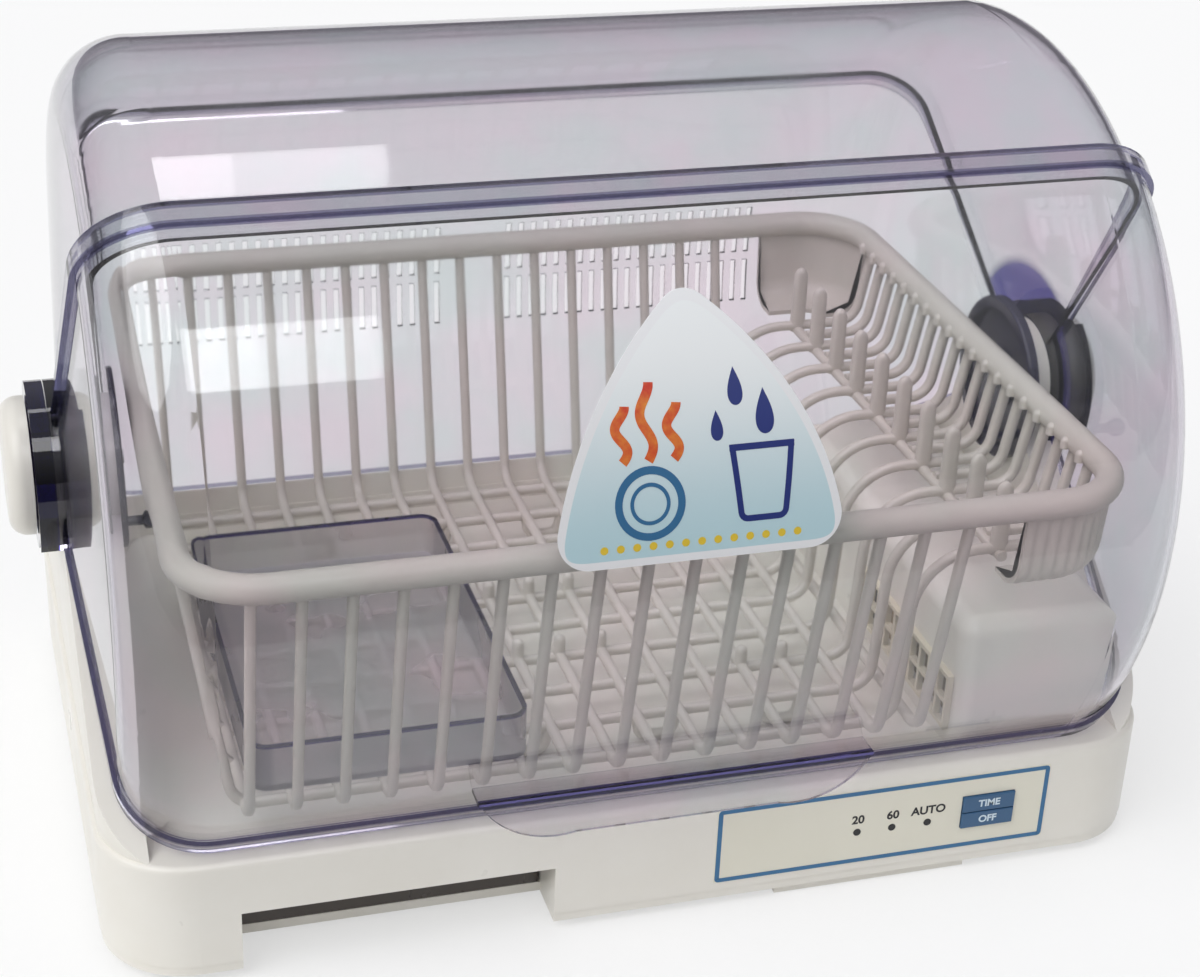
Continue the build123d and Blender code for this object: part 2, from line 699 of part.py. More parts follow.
def control_board():
    face = FRONT_Y + BOARD_SETBACK
    back = face + BOARD_THICK
    board = block(BOARD_LEFT, BOARD_RIGHT, face, back, BOARD_LOW, BOARD_HIGH)
    hole = SCREW_RADIUS + SCREW_CLEARANCE
    return board - [along_y(hole, face - 1, back + 1, x, z) for x, z in board_places()]


def board_screws():
    head_seat = FRONT_Y + BOARD_SETBACK + BOARD_THICK
    piece = Rot(90, 0, 0) * screw(BOARD_THICK + BOARD_SCREW_GRIP)
    return [Pos(x, head_seat, z) * piece for x, z in board_places()]


def power_parts():
    """Relay, transformer and capacitor in a row on the back of the board."""
    back = FRONT_Y + BOARD_SETBACK + BOARD_THICK
    middle = (BOARD_LOW + BOARD_HIGH) / 2
    relay_x = BOARD_LEFT + 2 * PART_SPACE + RELAY_SIZE[0] / 2
    transformer_x = relay_x + RELAY_SIZE[0] / 2 + PART_SPACE + TRANSFORMER_SIZE[0] / 2
    capacitor_x = transformer_x + TRANSFORMER_SIZE[0] / 2 + PART_SPACE + CAPACITOR_RADIUS
    relay = Pos(relay_x, back + RELAY_SIZE[1] / 2, middle) * Box(*RELAY_SIZE)
    transformer = Pos(transformer_x, back + TRANSFORMER_SIZE[1] / 2, middle) * Box(*TRANSFORMER_SIZE)
    transformer = fillet(transformer.edges(), TRANSFORMER_ROUND)
    capacitor = along_y(CAPACITOR_RADIUS, back, back + CAPACITOR_LENGTH, capacitor_x, middle)
    return [relay, transformer, capacitor]


# Fixed rear cover with two banks of vents
def rear_cover():
    inner = REAR_INSET + SHELL
    cover = dome(REAR_INSET, inner, WALL_START, REAR_LOW_ANGLE, REAR_HIGH_ANGLE)
    cover += rear_band(REAR_LIP_ANGLE)
    cover += [gusset(side) for side in (-1, 1)]
    return cover - vent_slots()


def gusset(side):
    """Stiffening web that widens down the front edge towards the hinge."""
    start = hinge_point(REAR_LOW_ANGLE, WALL_START)
    far = hinge_point(REAR_LOW_ANGLE, GUSSET_REACH)
    wide = hinge_point(REAR_LOW_ANGLE + GUSSET_ANGLE, WALL_START)
    ends = sorted((side * EAR_INNER / 2, side * BASE_WIDTH))
    return rear_band(GUSSET_ANGLE) & slab_yz([start, far, wide], *ends)


def rear_band(angle):
    """Thicker band behind the rear cover's front edge."""
    inner = REAR_INSET + REAR_LIP_DEPTH
    return dome(REAR_INSET, inner, WALL_START, REAR_LOW_ANGLE, REAR_LOW_ANGLE + angle)


def vent_slots():
    slots = []
    half = SLOT_WIDTH / 2
    front = LID_RADIUS * 0.8
    for centre, count in zip(BANK_CENTRES, BANK_COUNTS):
        for index in range(count):
            x = centre + (index - (count - 1) / 2) * SLOT_PITCH
            for low, high in SLOT_ROWS:
                ends = (HUB_Z + low, HUB_Z + high)
                slots.append(block(x - half, x + half, front, LID_RADIUS, *ends))
    return slots


# Upper cover, between the rear cover and the front lid
def upper_cover():
    cover = dome(UPPER_INSET, UPPER_INSET + SHELL, UPPER_START, UPPER_LOW_ANGLE, UPPER_HIGH_ANGLE)
    return cover + hub_ring(UPPER_RING_IN)


# Front lid with its top rim, lower flange and hinge necks
def front_lid():
    lid = dome(0, SHELL, WALL_START, LID_LOW_ANGLE, LID_HIGH_ANGLE)
    lid += dome(-RIM_PROUD, SHELL, WALL_START, LID_HIGH_ANGLE - RIM_ANGLE, LID_HIGH_ANGLE)
    lid += dome(-FLANGE_PROUD, SHELL, WALL_START, LID_LOW_ANGLE, LID_LOW_ANGLE + FLANGE_ANGLE)
    return lid + hub_ring(LID_RING_IN) + hub_necks()


def hub_necks():
    """Steps that carry the lid's side walls out to its hinge rings."""
    inner = WALL_START
    outer = inner + NECK_WIDTH
    wall = half_width(outer) - SHELL
    ring_out = LID_RING_IN + RING_WIDTH
    root = 2 * PIN_RADIUS
    necks = []
    for side in (-1, 1):
        step = make_face(Polyline(
            (side * wall, inner),
            (side * wall, outer),
            (side * ring_out, outer),
            (side * ring_out, root),
            (side * LID_RING_IN, root),
            (side * LID_RING_IN, inner),
            close=True,
        ))
        necks.append(swing(step, LID_LOW_ANGLE, LID_HIGH_ANGLE))
    return necks


# Handle at the foot of the lid
def lid_handle():
    """Awning with a round-cornered lip and a finger gap behind it."""
    half = HANDLE_WIDTH / 2
    shelf_low = HANDLE_TOP - HANDLE_THICK
    root = -sqrt((LID_RADIUS - SHELL / 2) ** 2 - (HUB_Z - shelf_low) ** 2)
    front = root - HANDLE_OVERHANG
    shelf = block(-half, half, front, root, shelf_low, HANDLE_TOP)
    low = HANDLE_TOP - HANDLE_DROP
    flat = half - HANDLE_CURVE
    bow = half - HANDLE_CURVE * (1 - cos(radians(45)))
    bow_z = HANDLE_TOP - HANDLE_DROP * sin(radians(45))
    outline = Line((-half, HANDLE_TOP), (half, HANDLE_TOP)) + [
        ThreePointArc((half, HANDLE_TOP), (bow, bow_z), (flat, low)),
        Line((flat, low), (-flat, low)),
        ThreePointArc((-flat, low), (-bow, bow_z), (-half, HANDLE_TOP)),
    ]
    lip = extrude(Plane.XZ * make_face(outline), HANDLE_THICK)
    handle = shelf + Pos(0, front + HANDLE_THICK, 0) * lip
    return handle - swing(cover_section(0, WALL_START), LID_LOW_ANGLE, LID_HIGH_ANGLE)


# Label with bowed sides and round corners on the front of the lid
def lid_label():
    left = Vector(-LABEL_WIDTH / 2, HUB_Z + LABEL_RISE)
    right = Vector(LABEL_WIDTH / 2, HUB_Z + LABEL_RISE)
    apex = Vector(0, HUB_Z + LABEL_RISE + LABEL_HEIGHT)
    outline = Line(left, right) + [
        ThreePointArc(right, bowed_middle(right, apex), apex),
        ThreePointArc(apex, bowed_middle(apex, left), left),
    ]
    face = make_face(outline)
    face = fillet(face.vertices(), LABEL_CORNER)
    prism = extrude(Plane.XZ * face, LID_RADIUS * 2)
    film = cover_section(-LABEL_GAP - LABEL_THICK, WALL_START)
    film -= cover_section(-LABEL_GAP, WALL_START - SHELL)
    return swing(film, LID_LOW_ANGLE, LID_HIGH_ANGLE) & prism


def bowed_middle(start, end):
    """Middle of an arc that bows out to the right of its chord."""
    chord = end - start
    outward = Vector(chord.Y, -chord.X).normalized()
    return (start + end) * 0.5 + outward * LABEL_BULGE


# Hinge pins, caps, inner pivot plates and stop pins
def hinge_pin(side):
    ends = sorted((side * EAR_INNER, side * CAP_IN))
    pilot = sorted((side * EAR_INNER, side * (EAR_INNER + HINGE_SCREW_GRIP + 1)))
    return along_x(PIN_RADIUS, *ends, 0, HUB_Z) - along_x(SCREW_RADIUS + PIN_CLEARANCE, *pilot, 0, HUB_Z)


def hinge_cap(side):
    dish = along_x(CAP_RADIUS, CAP_IN, CAP_IN + CAP_HEIGHT, 0, HUB_Z)
    dish = fillet(dish.edges().group_by(Axis.X)[-1], CAP_HEIGHT * 0.7)
    return dish if side > 0 else mirror(dish, Plane.YZ)


def pivot_plate(side):
    inner = EAR_INNER - PIVOT_THICK
    plate = along_x(PIVOT_RADIUS, inner, EAR_INNER, 0, HUB_Z)
    plate = fillet(plate.edges().group_by(Axis.X)[0], PIVOT_EDGE)
    plate -= along_x(PIVOT_RADIUS - 2 * PIVOT_DISH, inner - 1, inner + PIVOT_DISH, 0, HUB_Z)
    plate += along_x(1.5 * PIN_RADIUS, inner, EAR_INNER, 0, HUB_Z)
    plate -= along_x(SCREW_RADIUS + SCREW_CLEARANCE, inner - 1, EAR_INNER + 1, 0, HUB_Z)
    return plate if side > 0 else mirror(plate, Plane.YZ)


def stop_pin(side):
    y, z = hinge_point(STOP_ANGLE, STOP_OFFSET)
    seat = EAR_INNER - PIVOT_THICK + PIVOT_DISH
    neck = seat - STOP_NECK
    ball = along_x(STOP_RADIUS, neck - 2 * STOP_RADIUS, neck, y, z)
    ball = fillet(ball.edges().filter_by(GeomType.CIRCLE), STOP_RADIUS * 0.9)
    pin = ball + along_x(STOP_RADIUS / 2, neck - STOP_RADIUS, seat, y, z)
    return pin if side > 0 else mirror(pin, Plane.YZ)


def hinge_screw(side):
    seat = EAR_INNER - PIVOT_THICK
    piece = Pos(seat, 0, HUB_Z) * Rot(0, 90, 0) * screw(PIVOT_THICK + HINGE_SCREW_GRIP)
    return piece if side > 0 else mirror(piece, Plane.YZ)


# Dish basket: walls with their part of the rim, floor grid, raised shelf, arches, prongs and scoops
def dish_basket():
    rim = basket_rim()
    front_back = [front_back_rib(RIB_FIRST_X + index * RIB_PITCH) for index in range(RIB_COUNT)]
    long_ribs = [side_rib(2 * index) for index in range(CROSS_COUNT)]
    short_ribs = [side_rib(2 * index + 1) for index in range(CROSS_COUNT - 1)]
    walls = [long_wall(rim, front_back, side) for side in (-1, 1)]
    walls += [left_wall(rim, long_ribs), right_wall(rim, long_ribs + short_ribs)]
    shelf = basket_shelf(long_ribs + short_ribs)
    arches = [rib & arch_room() for rib in long_ribs]
    prongs = [prong(index) for index in range(CROSS_COUNT)]
    return walls + [basket_floor(front_back + long_ribs), shelf] + arches + prongs + corner_scoops(rim)


def basket_rim():
    outline = Pos(0, 0, RIM_Z) * RectangleRounded(2 * RIM_HALF_X, 2 * RIM_HALF_Y, RIM_CORNER)
    path = outline.wires()[0]
    return sweep(Plane(path @ 0, z_dir=path % 0) * Circle(RIM_TUBE), path)


def plan_slab(points):
    """A flat outline in the X-Y plane, as tall as the basket."""
    face = make_face(Polyline(*points, close=True))
    return Pos(0, 0, PAN_FLOOR) * extrude(face, RIM_Z - PAN_FLOOR + 2 * RIM_TUBE)


def mitre(side):
    """Corner of the rim at the left, where two walls meet: the arc's middle and a point far outside."""
    x = RIM_CORNER - RIM_HALF_X
    y = side * (RIM_HALF_Y - RIM_CORNER)
    return (x, y), (x - 2 * RIM_CORNER, y + side * 2 * RIM_CORNER)


def long_wall(rim, ribs, side):
    """Front or back wall: the ribs above the floor and the straight rim up to both corners."""
    inner, outer = mitre(side)
    part = rim & plan_slab([inner, outer, (SCOOP_X, outer[1]), (SCOOP_X, inner[1])])
    ends = sorted((0, side * 2 * RIM_HALF_Y))
    room = block(-RIM_HALF_X, RIM_HALF_X, *ends, FLOOR_TOP, RIM_Z)
    return part + [rib & room for rib in ribs]


def left_wall(rim, ribs):
    front_inner, front_outer = mitre(-1)
    back_inner, back_outer = mitre(1)
    part = rim & plan_slab([front_inner, front_outer, back_outer, back_inner])
    room = block(-2 * RIM_HALF_X, 0, -RIM_HALF_Y, RIM_HALF_Y, FLOOR_TOP, RIM_Z)
    return part + [rib & room for rib in ribs]


def right_wall(rim, ribs):
    part = rim & plan_slab(
        [(SCOOP_X, -SCOOP_Y), (2 * RIM_HALF_X, -SCOOP_Y), (2 * RIM_HALF_X, SCOOP_Y), (SCOOP_X, SCOOP_Y)],
    )
    room = block(SHELF_END, 2 * RIM_HALF_X, -RIM_HALF_Y, RIM_HALF_Y, FLOOR_TOP, RIM_Z)
    return part + [rib & room for rib in ribs]


def basket_floor(ribs):
    room = block(-RIM_HALF_X, RIM_HALF_X, -RIM_HALF_Y, RIM_HALF_Y, PAN_FLOOR, FLOOR_TOP)
    parts = [rib & room for rib in ribs] + basket_feet()
    return parts[0] + parts[1:]


def basket_shelf(ribs):
    """Flat comb along the right wall, with a bar under its edge."""
    half = RIB / 2
    reach = cross_y(2 * CROSS_COUNT - 2) + RIB
    bar = block(SHELF_LEFT - half, SHELF_LEFT + half, -reach, reach, SHELF_Z - half, SHELF_TOP)
    room = block(SHELF_LEFT - half, SHELF_END, -RIM_HALF_Y, RIM_HALF_Y, FLOOR_TOP, RIM_Z)
    return bar + [rib & room for rib in ribs]


def arch_room():
    return block(0, SHELF_LEFT - RIB / 2, -RIM_HALF_Y, RIM_HALF_Y, FLOOR_TOP, RIM_Z)


def front_back_rib(x):
    floor = FLOOR_Z
    points = [(-RIM_HALF_Y, RIM_Z), (-FLOOR_HALF_Y, floor), (FLOOR_HALF_Y, floor), (RIM_HALF_Y, RIM_Z)]
    plane = Plane((x, 0, 0), x_dir=(0, 1, 0), z_dir=(1, 0, 0))
    return strip(points, FLOOR_BEND, plane)


def cross_y(index):
    """Places of the cross ribs and, half way between them, of the short shelf ribs."""
    return (index - (CROSS_COUNT - 1)) * CROSS_PITCH / 2


def side_rib(index):
    plane = Plane((0, cross_y(index), 0), x_dir=(1, 0, 0), z_dir=(0, -1, 0))
    wall = [(SHELF_RIGHT, SHELF_Z), (RIM_HALF_X, RIM_Z)]
    if index % 2:
        return strip([(SHELF_LEFT, SHELF_Z)] + wall, FLOOR_BEND, plane)
    floor = FLOOR_Z - RIB / 3
    left = [(-RIM_HALF_X, RIM_Z), (FLOOR_LEFT, floor)]
    step = [(STEP_X, floor), (STEP_X + RIB, SHELF_Z)]
    bends = [FLOOR_BEND, FLOOR_BEND, STEP_BEND, FLOOR_BEND]
    return strip(left + step + wall, bends, plane)


def prong(index):
    y = cross_y(2 * index)
    half = PRONG_WIDTH / 2
    top = SHELF_Z + PRONG_HEIGHT
    body = block(SHELF_LEFT - half, SHELF_LEFT + half, y - RIB / 2, y + RIB / 2, SHELF_TOP, top)
    return fillet(body.edges().filter_by(Axis.Y).group_by(Axis.Z)[-1], half * 0.9)


def corner_scoops(rim):
    """Closed scoops in the two right-hand corners, each with its round corner of the rim."""
    wall = RIB / 2
    low = SHELF_Z - wall
    across = 2 * RIM_HALF_X
    along = 2 * RIM_HALF_Y
    outer = rounded_block(across + wall, along + wall, RIM_CORNER, low, RIM_Z)
    inner = rounded_block(across - wall, along - wall, RIM_CORNER - wall, low + wall, RIM_Z)
    cup = outer - inner
    scoops = []
    for side in (-1, 1):
        ends = sorted((side * SCOOP_Y, side * 2 * RIM_HALF_Y))
        room = block(SCOOP_X, across, *ends, low, RIM_Z + 2 * RIM_TUBE)
        scoops.append((cup & room) + (rim & room))
    return scoops


def basket_feet():
    low = PAN_FLOOR + BASKET_FOOT_GAP
    last = RIB_COUNT - 2
    xs = [RIB_FIRST_X + index * RIB_PITCH for index in (1, last // 2, last)]
    ys = [cross_y(0), 0, cross_y(2 * CROSS_COUNT - 2)]
    return [upright(BASKET_FOOT_RADIUS, x, y, low, FLOOR_Z) for x in xs for y in ys]


# Cutlery tray, resting on the basket floor
def cutlery_tray():
    low = FLOOR_TOP + CUTLERY_GAP
    high = low + CUTLERY_HEIGHT
    width = CUTLERY_WIDTH
    depth = CUTLERY_DEPTH
    place = Pos(CUTLERY_LEFT + width / 2, CUTLERY_FRONT + depth / 2, 0)
    thin = 2 * CUTLERY_WALL
    body = rounded_block(width, depth, CUTLERY_CORNER, low, high)
    inner_corner = CUTLERY_CORNER - CUTLERY_WALL
    body -= rounded_block(width - thin, depth - thin, inner_corner, low + CUTLERY_WALL, high + 1)
    holes = []
    count = int((width - 4 * CUTLERY_CORNER) / HOLE_PITCH) + 1
    for index in range(count):
        x = (index - (count - 1) / 2) * HOLE_PITCH
        for y in (-depth / 2 + CUTLERY_CORNER * 2, depth / 2 - CUTLERY_CORNER * 2):
            holes.append(upright(HOLE_RADIUS, x, y, low - 1, low + CUTLERY_WALL + 1))
    return place * (body - holes)


# Blower: scroll, motor and wheel
def fan_housing():
    x0 = FAN_X - SCROLL_WIDTH / 2
    x1 = FAN_X + SCROLL_WIDTH / 2
    inner = SCROLL_RADIUS - SCROLL_WALL
    duct_front = HEATER_Y + HEATER_DEPTH / 2
    duct_top = FAN_Z + SCROLL_RADIUS
    duct_low = FAN_Z
    drum = along_x(SCROLL_RADIUS, x0, x1, FAN_Y, FAN_Z)
    drum += block(x0, x1, duct_front, FAN_Y, duct_low, duct_top)
    room = along_x(inner, x0 + SCROLL_WALL, x1 - SCROLL_WALL, FAN_Y, FAN_Z)
    room += block(
        x0 + SCROLL_WALL, x1 - SCROLL_WALL, duct_front - 1, FAN_Y,
        duct_low + SCROLL_WALL, duct_top - SCROLL_WALL,
    )
    leg_top = FAN_Z - SCROLL_RADIUS * 0.6
    legs = []
    for y in (FAN_Y - LEG_SPREAD, FAN_Y + LEG_SPREAD):
        legs.append(block(x0, x1, y - LEG_DEPTH / 2, y + LEG_DEPTH / 2, PLATE_TOP, leg_top))
    inlet = along_x(FAN_RADIUS * 0.7, x1 - SCROLL_WALL - 1, x1 + 1, FAN_Y, FAN_Z)
    shaft_hole = along_x(SHAFT_RADIUS + 1, x0 - 1, x0 + SCROLL_WALL + 1, FAN_Y, FAN_Z)
    return drum + legs - room - inlet - shaft_hole


def fan_motor():
    mount = FAN_X - SCROLL_WIDTH / 2
    body = along_x(MOTOR_RADIUS, mount - MOTOR_LENGTH, mount, FAN_Y, FAN_Z)
    body = fillet(body.edges().group_by(Axis.X)[0], MOTOR_EDGE)
    return body + along_x(SHAFT_RADIUS, mount, FAN_X + FAN_WIDTH / 4, FAN_Y, FAN_Z)


def fan_wheel():
    x0 = FAN_X - FAN_WIDTH / 2
    x1 = FAN_X + FAN_WIDTH / 2
    plate = along_x(FAN_RADIUS, x0, x0 + SCROLL_WALL, FAN_Y, FAN_Z)
    plate += along_x(HUB_RADIUS, x0, FAN_X + FAN_WIDTH / 4, FAN_Y, FAN_Z)
    ring = along_x(FAN_RADIUS, x1 - SCROLL_WALL, x1, FAN_Y, FAN_Z)
    ring -= along_x(FAN_RADIUS * 0.8, x1 - SCROLL_WALL, x1, FAN_Y, FAN_Z)
    half = BLADE_THICK / 2
    blade = block(x0, x1, -half, half, FAN_RADIUS * 0.82, FAN_RADIUS - half / 2)
    spot = Pos(0, FAN_Y, FAN_Z)
    blades = [spot * Rot(index * 360 / FAN_BLADES, 0, 0) * blade for index in range(FAN_BLADES)]
    bore = along_x(SHAFT_RADIUS + PIN_CLEARANCE, x0 - 1, FAN_X + FAN_WIDTH / 4 + 1, FAN_Y, FAN_Z)
    return plate + [ring] + blades - bore


# Heater: frame across the duct and its fins
def heater_frame():
    left = BLOCK_LEFT + WALL + HEATER_GAP
    right = PAN_WIDTH / 2 - HEATER_GAP
    front = HEATER_Y - HEATER_DEPTH / 2
    back = HEATER_Y + HEATER_DEPTH / 2
    top = BLOCK_TOP - WALL - HEATER_GAP
    frame = block(left, right, front, back, PLATE_TOP, top)
    opening = block(left + HEATER_WALL, right - HEATER_WALL, front - 1, back + 1, FAN_Z, top - HEATER_WALL)
    return frame - opening


def heater_fins():
    margin = HEATER_GAP + HEATER_WALL
    left = BLOCK_LEFT + WALL + margin
    right = PAN_WIDTH / 2 - margin
    top = BLOCK_TOP - WALL - margin
    pitch = (top - FAN_Z) / (HEATER_FIN_COUNT + 1)
    front = HEATER_Y - HEATER_DEPTH / 2 + FIN_THICK
    back = HEATER_Y + HEATER_DEPTH / 2 - FIN_THICK
    fins = []
    for index in range(HEATER_FIN_COUNT):
        low = FAN_Z + pitch * (index + 1) - FIN_THICK / 2
        fins.append(block(left, right, front, back, low, low + FIN_THICK))
    return fins


# Warm-air outlet grille on the left face of the block
def air_grille():
    x0 = BLOCK_LEFT - GRILLE_THICK
    frame = block(x0, BLOCK_LEFT, GRILLE_FRONT, GRILLE_BACK, GRILLE_LOW, GRILLE_HIGH)
    cell_high = (GRILLE_HIGH - GRILLE_LOW - 3 * GRILLE_BAR) / 2
    columns = int((GRILLE_BACK - GRILLE_FRONT - GRILLE_BAR) / (GRILLE_CELL + GRILLE_BAR))
    pitch = (GRILLE_BACK - GRILLE_FRONT - GRILLE_BAR) / columns
    cells = []
    for column in range(columns):
        y = GRILLE_FRONT + GRILLE_BAR + column * pitch
        for row in range(2):
            z = GRILLE_LOW + GRILLE_BAR + row * (cell_high + GRILLE_BAR)
            cells.append(block(x0 - 1, BLOCK_LEFT + 1, y, y + pitch - GRILLE_BAR, z, z + cell_high))
    return frame - cells


# Bush in the back wall where the mains lead enters
def cord_inlet():
    inner = BACK_Y - WALL - INLET_TAIL
    outer = BACK_Y + INLET_HEAD
    bush = along_y(INLET_RADIUS - PIN_CLEARANCE, inner, BACK_Y, INLET_X, INLET_Z)
    bush += along_y(INLET_FLANGE, BACK_Y, outer, INLET_X, INLET_Z)
    return bush - along_y(INLET_BORE, inner - 1, outer + 1, INLET_X, INLET_Z)


os.makedirs("parts", exist_ok=True)

save(base_housing(), "base_housing")
save(bottom_plate(), "bottom_plate")
save(rubber_feet(), "rubber_feet")
save(base_screws(), "base_screws")
save(drip_tray(), "drip_tray")
save(control_panel(), "control_panel")
save(time_button(), "time_button")
save(off_button(), "off_button")
save(tact_switches(), "tact_switches")
save(indicator_lenses(), "indicator_lenses")
save(status_lamps(), "status_lamps")
save(control_board(), "control_board")
save(board_screws(), "board_screws")
save(power_parts(), "power_parts")
save(rear_cover(), "rear_cover")
save(upper_cover(), "upper_cover")
save(front_lid(), "front_lid")
save(lid_handle(), "lid_handle")
save(lid_label(), "lid_label")
save(hinge_pin(-1), "hinge_pin_left")
save(hinge_pin(1), "hinge_pin_right")
save(hinge_cap(-1), "hinge_cap_left")
save(hinge_cap(1), "hinge_cap_right")
save(pivot_plate(-1), "pivot_plate_left")
save(pivot_plate(1), "pivot_plate_right")
save(both_sides(stop_pin), "stop_pins")
save(both_sides(hinge_screw), "hinge_screws")
save(dish_basket(), "dish_basket")
save(cutlery_tray(), "cutlery_tray")
save(fan_housing(), "fan_housing")
save(fan_motor(), "fan_motor")
save(fan_wheel(), "fan_wheel")
save(heater_frame(), "heater_frame")
save(heater_fins(), "heater_fins")
save(air_grille(), "air_grille")
save(cord_inlet(), "cord_inlet")
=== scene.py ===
"""Countertop dish dryer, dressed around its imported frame.

Metres, +Z up, the front faces -Y. The covers swing about one hinge line along X.
"""
import math

import bmesh
import bpy
import numpy as np
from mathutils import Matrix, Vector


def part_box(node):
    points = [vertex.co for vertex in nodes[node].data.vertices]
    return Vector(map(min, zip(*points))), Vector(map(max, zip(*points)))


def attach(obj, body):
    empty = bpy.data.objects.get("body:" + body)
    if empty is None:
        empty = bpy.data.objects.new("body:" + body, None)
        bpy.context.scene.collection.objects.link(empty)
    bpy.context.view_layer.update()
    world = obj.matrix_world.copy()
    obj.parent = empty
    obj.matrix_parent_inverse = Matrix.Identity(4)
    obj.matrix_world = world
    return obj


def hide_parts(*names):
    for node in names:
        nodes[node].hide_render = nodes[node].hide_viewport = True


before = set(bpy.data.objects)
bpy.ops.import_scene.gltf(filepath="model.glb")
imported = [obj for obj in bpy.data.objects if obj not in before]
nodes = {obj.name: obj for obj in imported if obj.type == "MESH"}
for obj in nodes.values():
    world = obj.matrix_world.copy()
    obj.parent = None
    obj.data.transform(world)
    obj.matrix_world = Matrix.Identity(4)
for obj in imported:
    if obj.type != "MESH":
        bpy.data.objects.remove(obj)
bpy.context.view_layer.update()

MM = 0.001
SHARP_ANGLE = math.radians(40)

# Places shared with the solids
HUB_Y = 4.0 * MM
HUB_Z = 176.0 * MM
LID_RADIUS = 195.0 * MM
LABEL_FACE = LID_RADIUS + 0.35 * MM
LAMP_XS = (94.5 * MM, 112.0 * MM, 130.0 * MM)
LAMP_Z = 31.3 * MM
PANEL_LOW, PANEL_HIGH = (np.array(corner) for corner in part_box("control_panel"))
PANEL_FACE = PANEL_LOW[1]
HANDLE_LOW, HANDLE_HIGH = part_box("lid_handle")
HANDLE_FRONT = HUB_Y - HANDLE_LOW.y
HANDLE_TOP = HANDLE_HIGH.z - HUB_Z
TRAY_LOW, TRAY_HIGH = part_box("cutlery_tray")
REAR_SLOPE = math.tan(math.radians(33.0))

# Lid label: two arcs that meet over a straight foot
LABEL_FOOT = 200.5 * MM
LABEL_ARC = 132.96 * MM
LABEL_ARC_X = 69.19 * MM
LABEL_ARC_Z = 191.96 * MM
LABEL_BORDER = 3.4 * MM
LABEL_BORDER_SOFT = 0.1 * MM
LABEL_CORNER = 14.0 * MM
LABEL_FADE_LOW = 205.0 * MM
LABEL_FADE_HIGH = 285.0 * MM

# Dish basket: rim, floor and ribs
RIM_TUBE = 6.5 * MM
RIM_HALF_X = 210.0 * MM
RIM_HALF_Y = 175.0 * MM
RIM_Z = 198.0 * MM
RIM_CORNER = 34.0 * MM
FLOOR_HALF_Y = 146.0 * MM
FLOOR_LEFT = -189.0 * MM
FLOOR_Z = 68.5 * MM
PAN_FLOOR = 52.3 * MM
RIB = 5.0 * MM
RIB_BEND = 12.0 * MM
RIB_POWER = 2.6
RIB_XS = (-184.0 + 21.0 * np.arange(16)) * MM
CROSS_YS = (np.arange(19) - 9) * 14.7 * MM
STEP_X = 124.0 * MM
STEP_BEND = 30.0 * MM
SHELF_LEFT = 168.0 * MM
SHELF_RIGHT = 202.0 * MM
SHELF_Z = 154.0 * MM

# Dish basket: fittings
PRONG_HEIGHT = 34.0 * MM
PRONG_ROOT = 3.0 * MM
PRONG_HALF_X = 3.9 * MM
PRONG_HALF_Y = 2.6 * MM
PRONG_POWER = 2.8
PRONG_CROWN = 0.86
SCOOP_X = 158.0 * MM
SCOOP_Y = 142.0 * MM
SCOOP_LEAN = 3.0 * MM
SCOOP_FOOT = 24.0 * MM
SCOOP_BEND = 14.0 * MM
SCOOP_INSET = 2.0 * MM
SCOOP_HALF_WALL = 1.2 * MM
GROOVE_DEPTH = 0.35 * MM
GROOVE_PITCH = 6.0 * MM
PEG_RADIUS = 3.0 * MM
PEG_FOOT_RADIUS = 3.2 * MM
PEG_HEIGHT = 8.0 * MM
PEG_PLACES_MM = [(x, y) for x in (-37, -16, 5) for y in (-44.1, 14.7)] + [(68, -73.5), (89, -73.5)]
BEAD_RADIUS = 2.3 * MM
LOOP_XS = (-110.5 * MM, -47.5 * MM, 15.5 * MM, 78.5 * MM)
LOOP_Y = 102.9 * MM
LOOP_HALF_TOP = 10.5 * MM
LOOP_HALF_FOOT = 8.0 * MM
LOOP_BEND = 5.0 * MM
LOOP_POWER = 2.4

# Ink on the panel, the buttons and the label
INK_LIFT = 0.05 * MM
INK_THICK = 0.05 * MM
LETTER_HALF_THICK = 0.03 * MM
LETTER_BOLDNESS = 0.03
FRAME_LINE = 2.2 * MM
FRAME_INSET = 1.3 * MM
FRAME_CORNER = 0.8 * MM
FIGURE_SIZE = 6.2 * MM
FIGURE_RISE = 6.8 * MM
WORD_SIZE = 5.2 * MM


# Mesh making

def norm(vectors):
    """Vectors scaled to unit length along the last axis."""
    return vectors / np.linalg.norm(vectors, axis=-1, keepdims=True)


def bent_line(corners, bends, arc_points=9):
    """Line through corners whose inner corners are arcs: an arc starts bend / tan(half angle) before
    its corner and turns about a centre on the bisector, bend / sin(half angle) from the corner."""
    corners = np.asarray(corners, float)
    runs = [corners[:1]]
    for before, here, after, bend in zip(corners, corners[1:], corners[2:], bends):
        back = norm(before - here)
        onward = norm(after - here)
        half = 0.5 * math.acos(float(back @ onward))
        centre = here + norm(back + onward) * bend / math.sin(half)
        start = norm(here + back * bend / math.tan(half) - centre)
        end = norm(here + onward * bend / math.tan(half) - centre)
        turn = math.acos(float(start @ end))
        share = np.linspace(0, 1, arc_points)[:, None]
        arc = np.sin((1 - share) * turn) * start + np.sin(share * turn) * end
        runs.append(centre + bend * arc / math.sin(turn))
    runs.append(corners[-1:])
    return np.concatenate(runs)


def even_points(line, count):
    """Points at even distances along a line in a plane, and those distances."""
    run = np.concatenate([[0], np.cumsum(np.linalg.norm(np.diff(line, axis=0), axis=1))])
    even = np.linspace(0, run[-1], count)
    return np.column_stack([np.interp(even, run, line[:, axis]) for axis in (0, 1)]), even


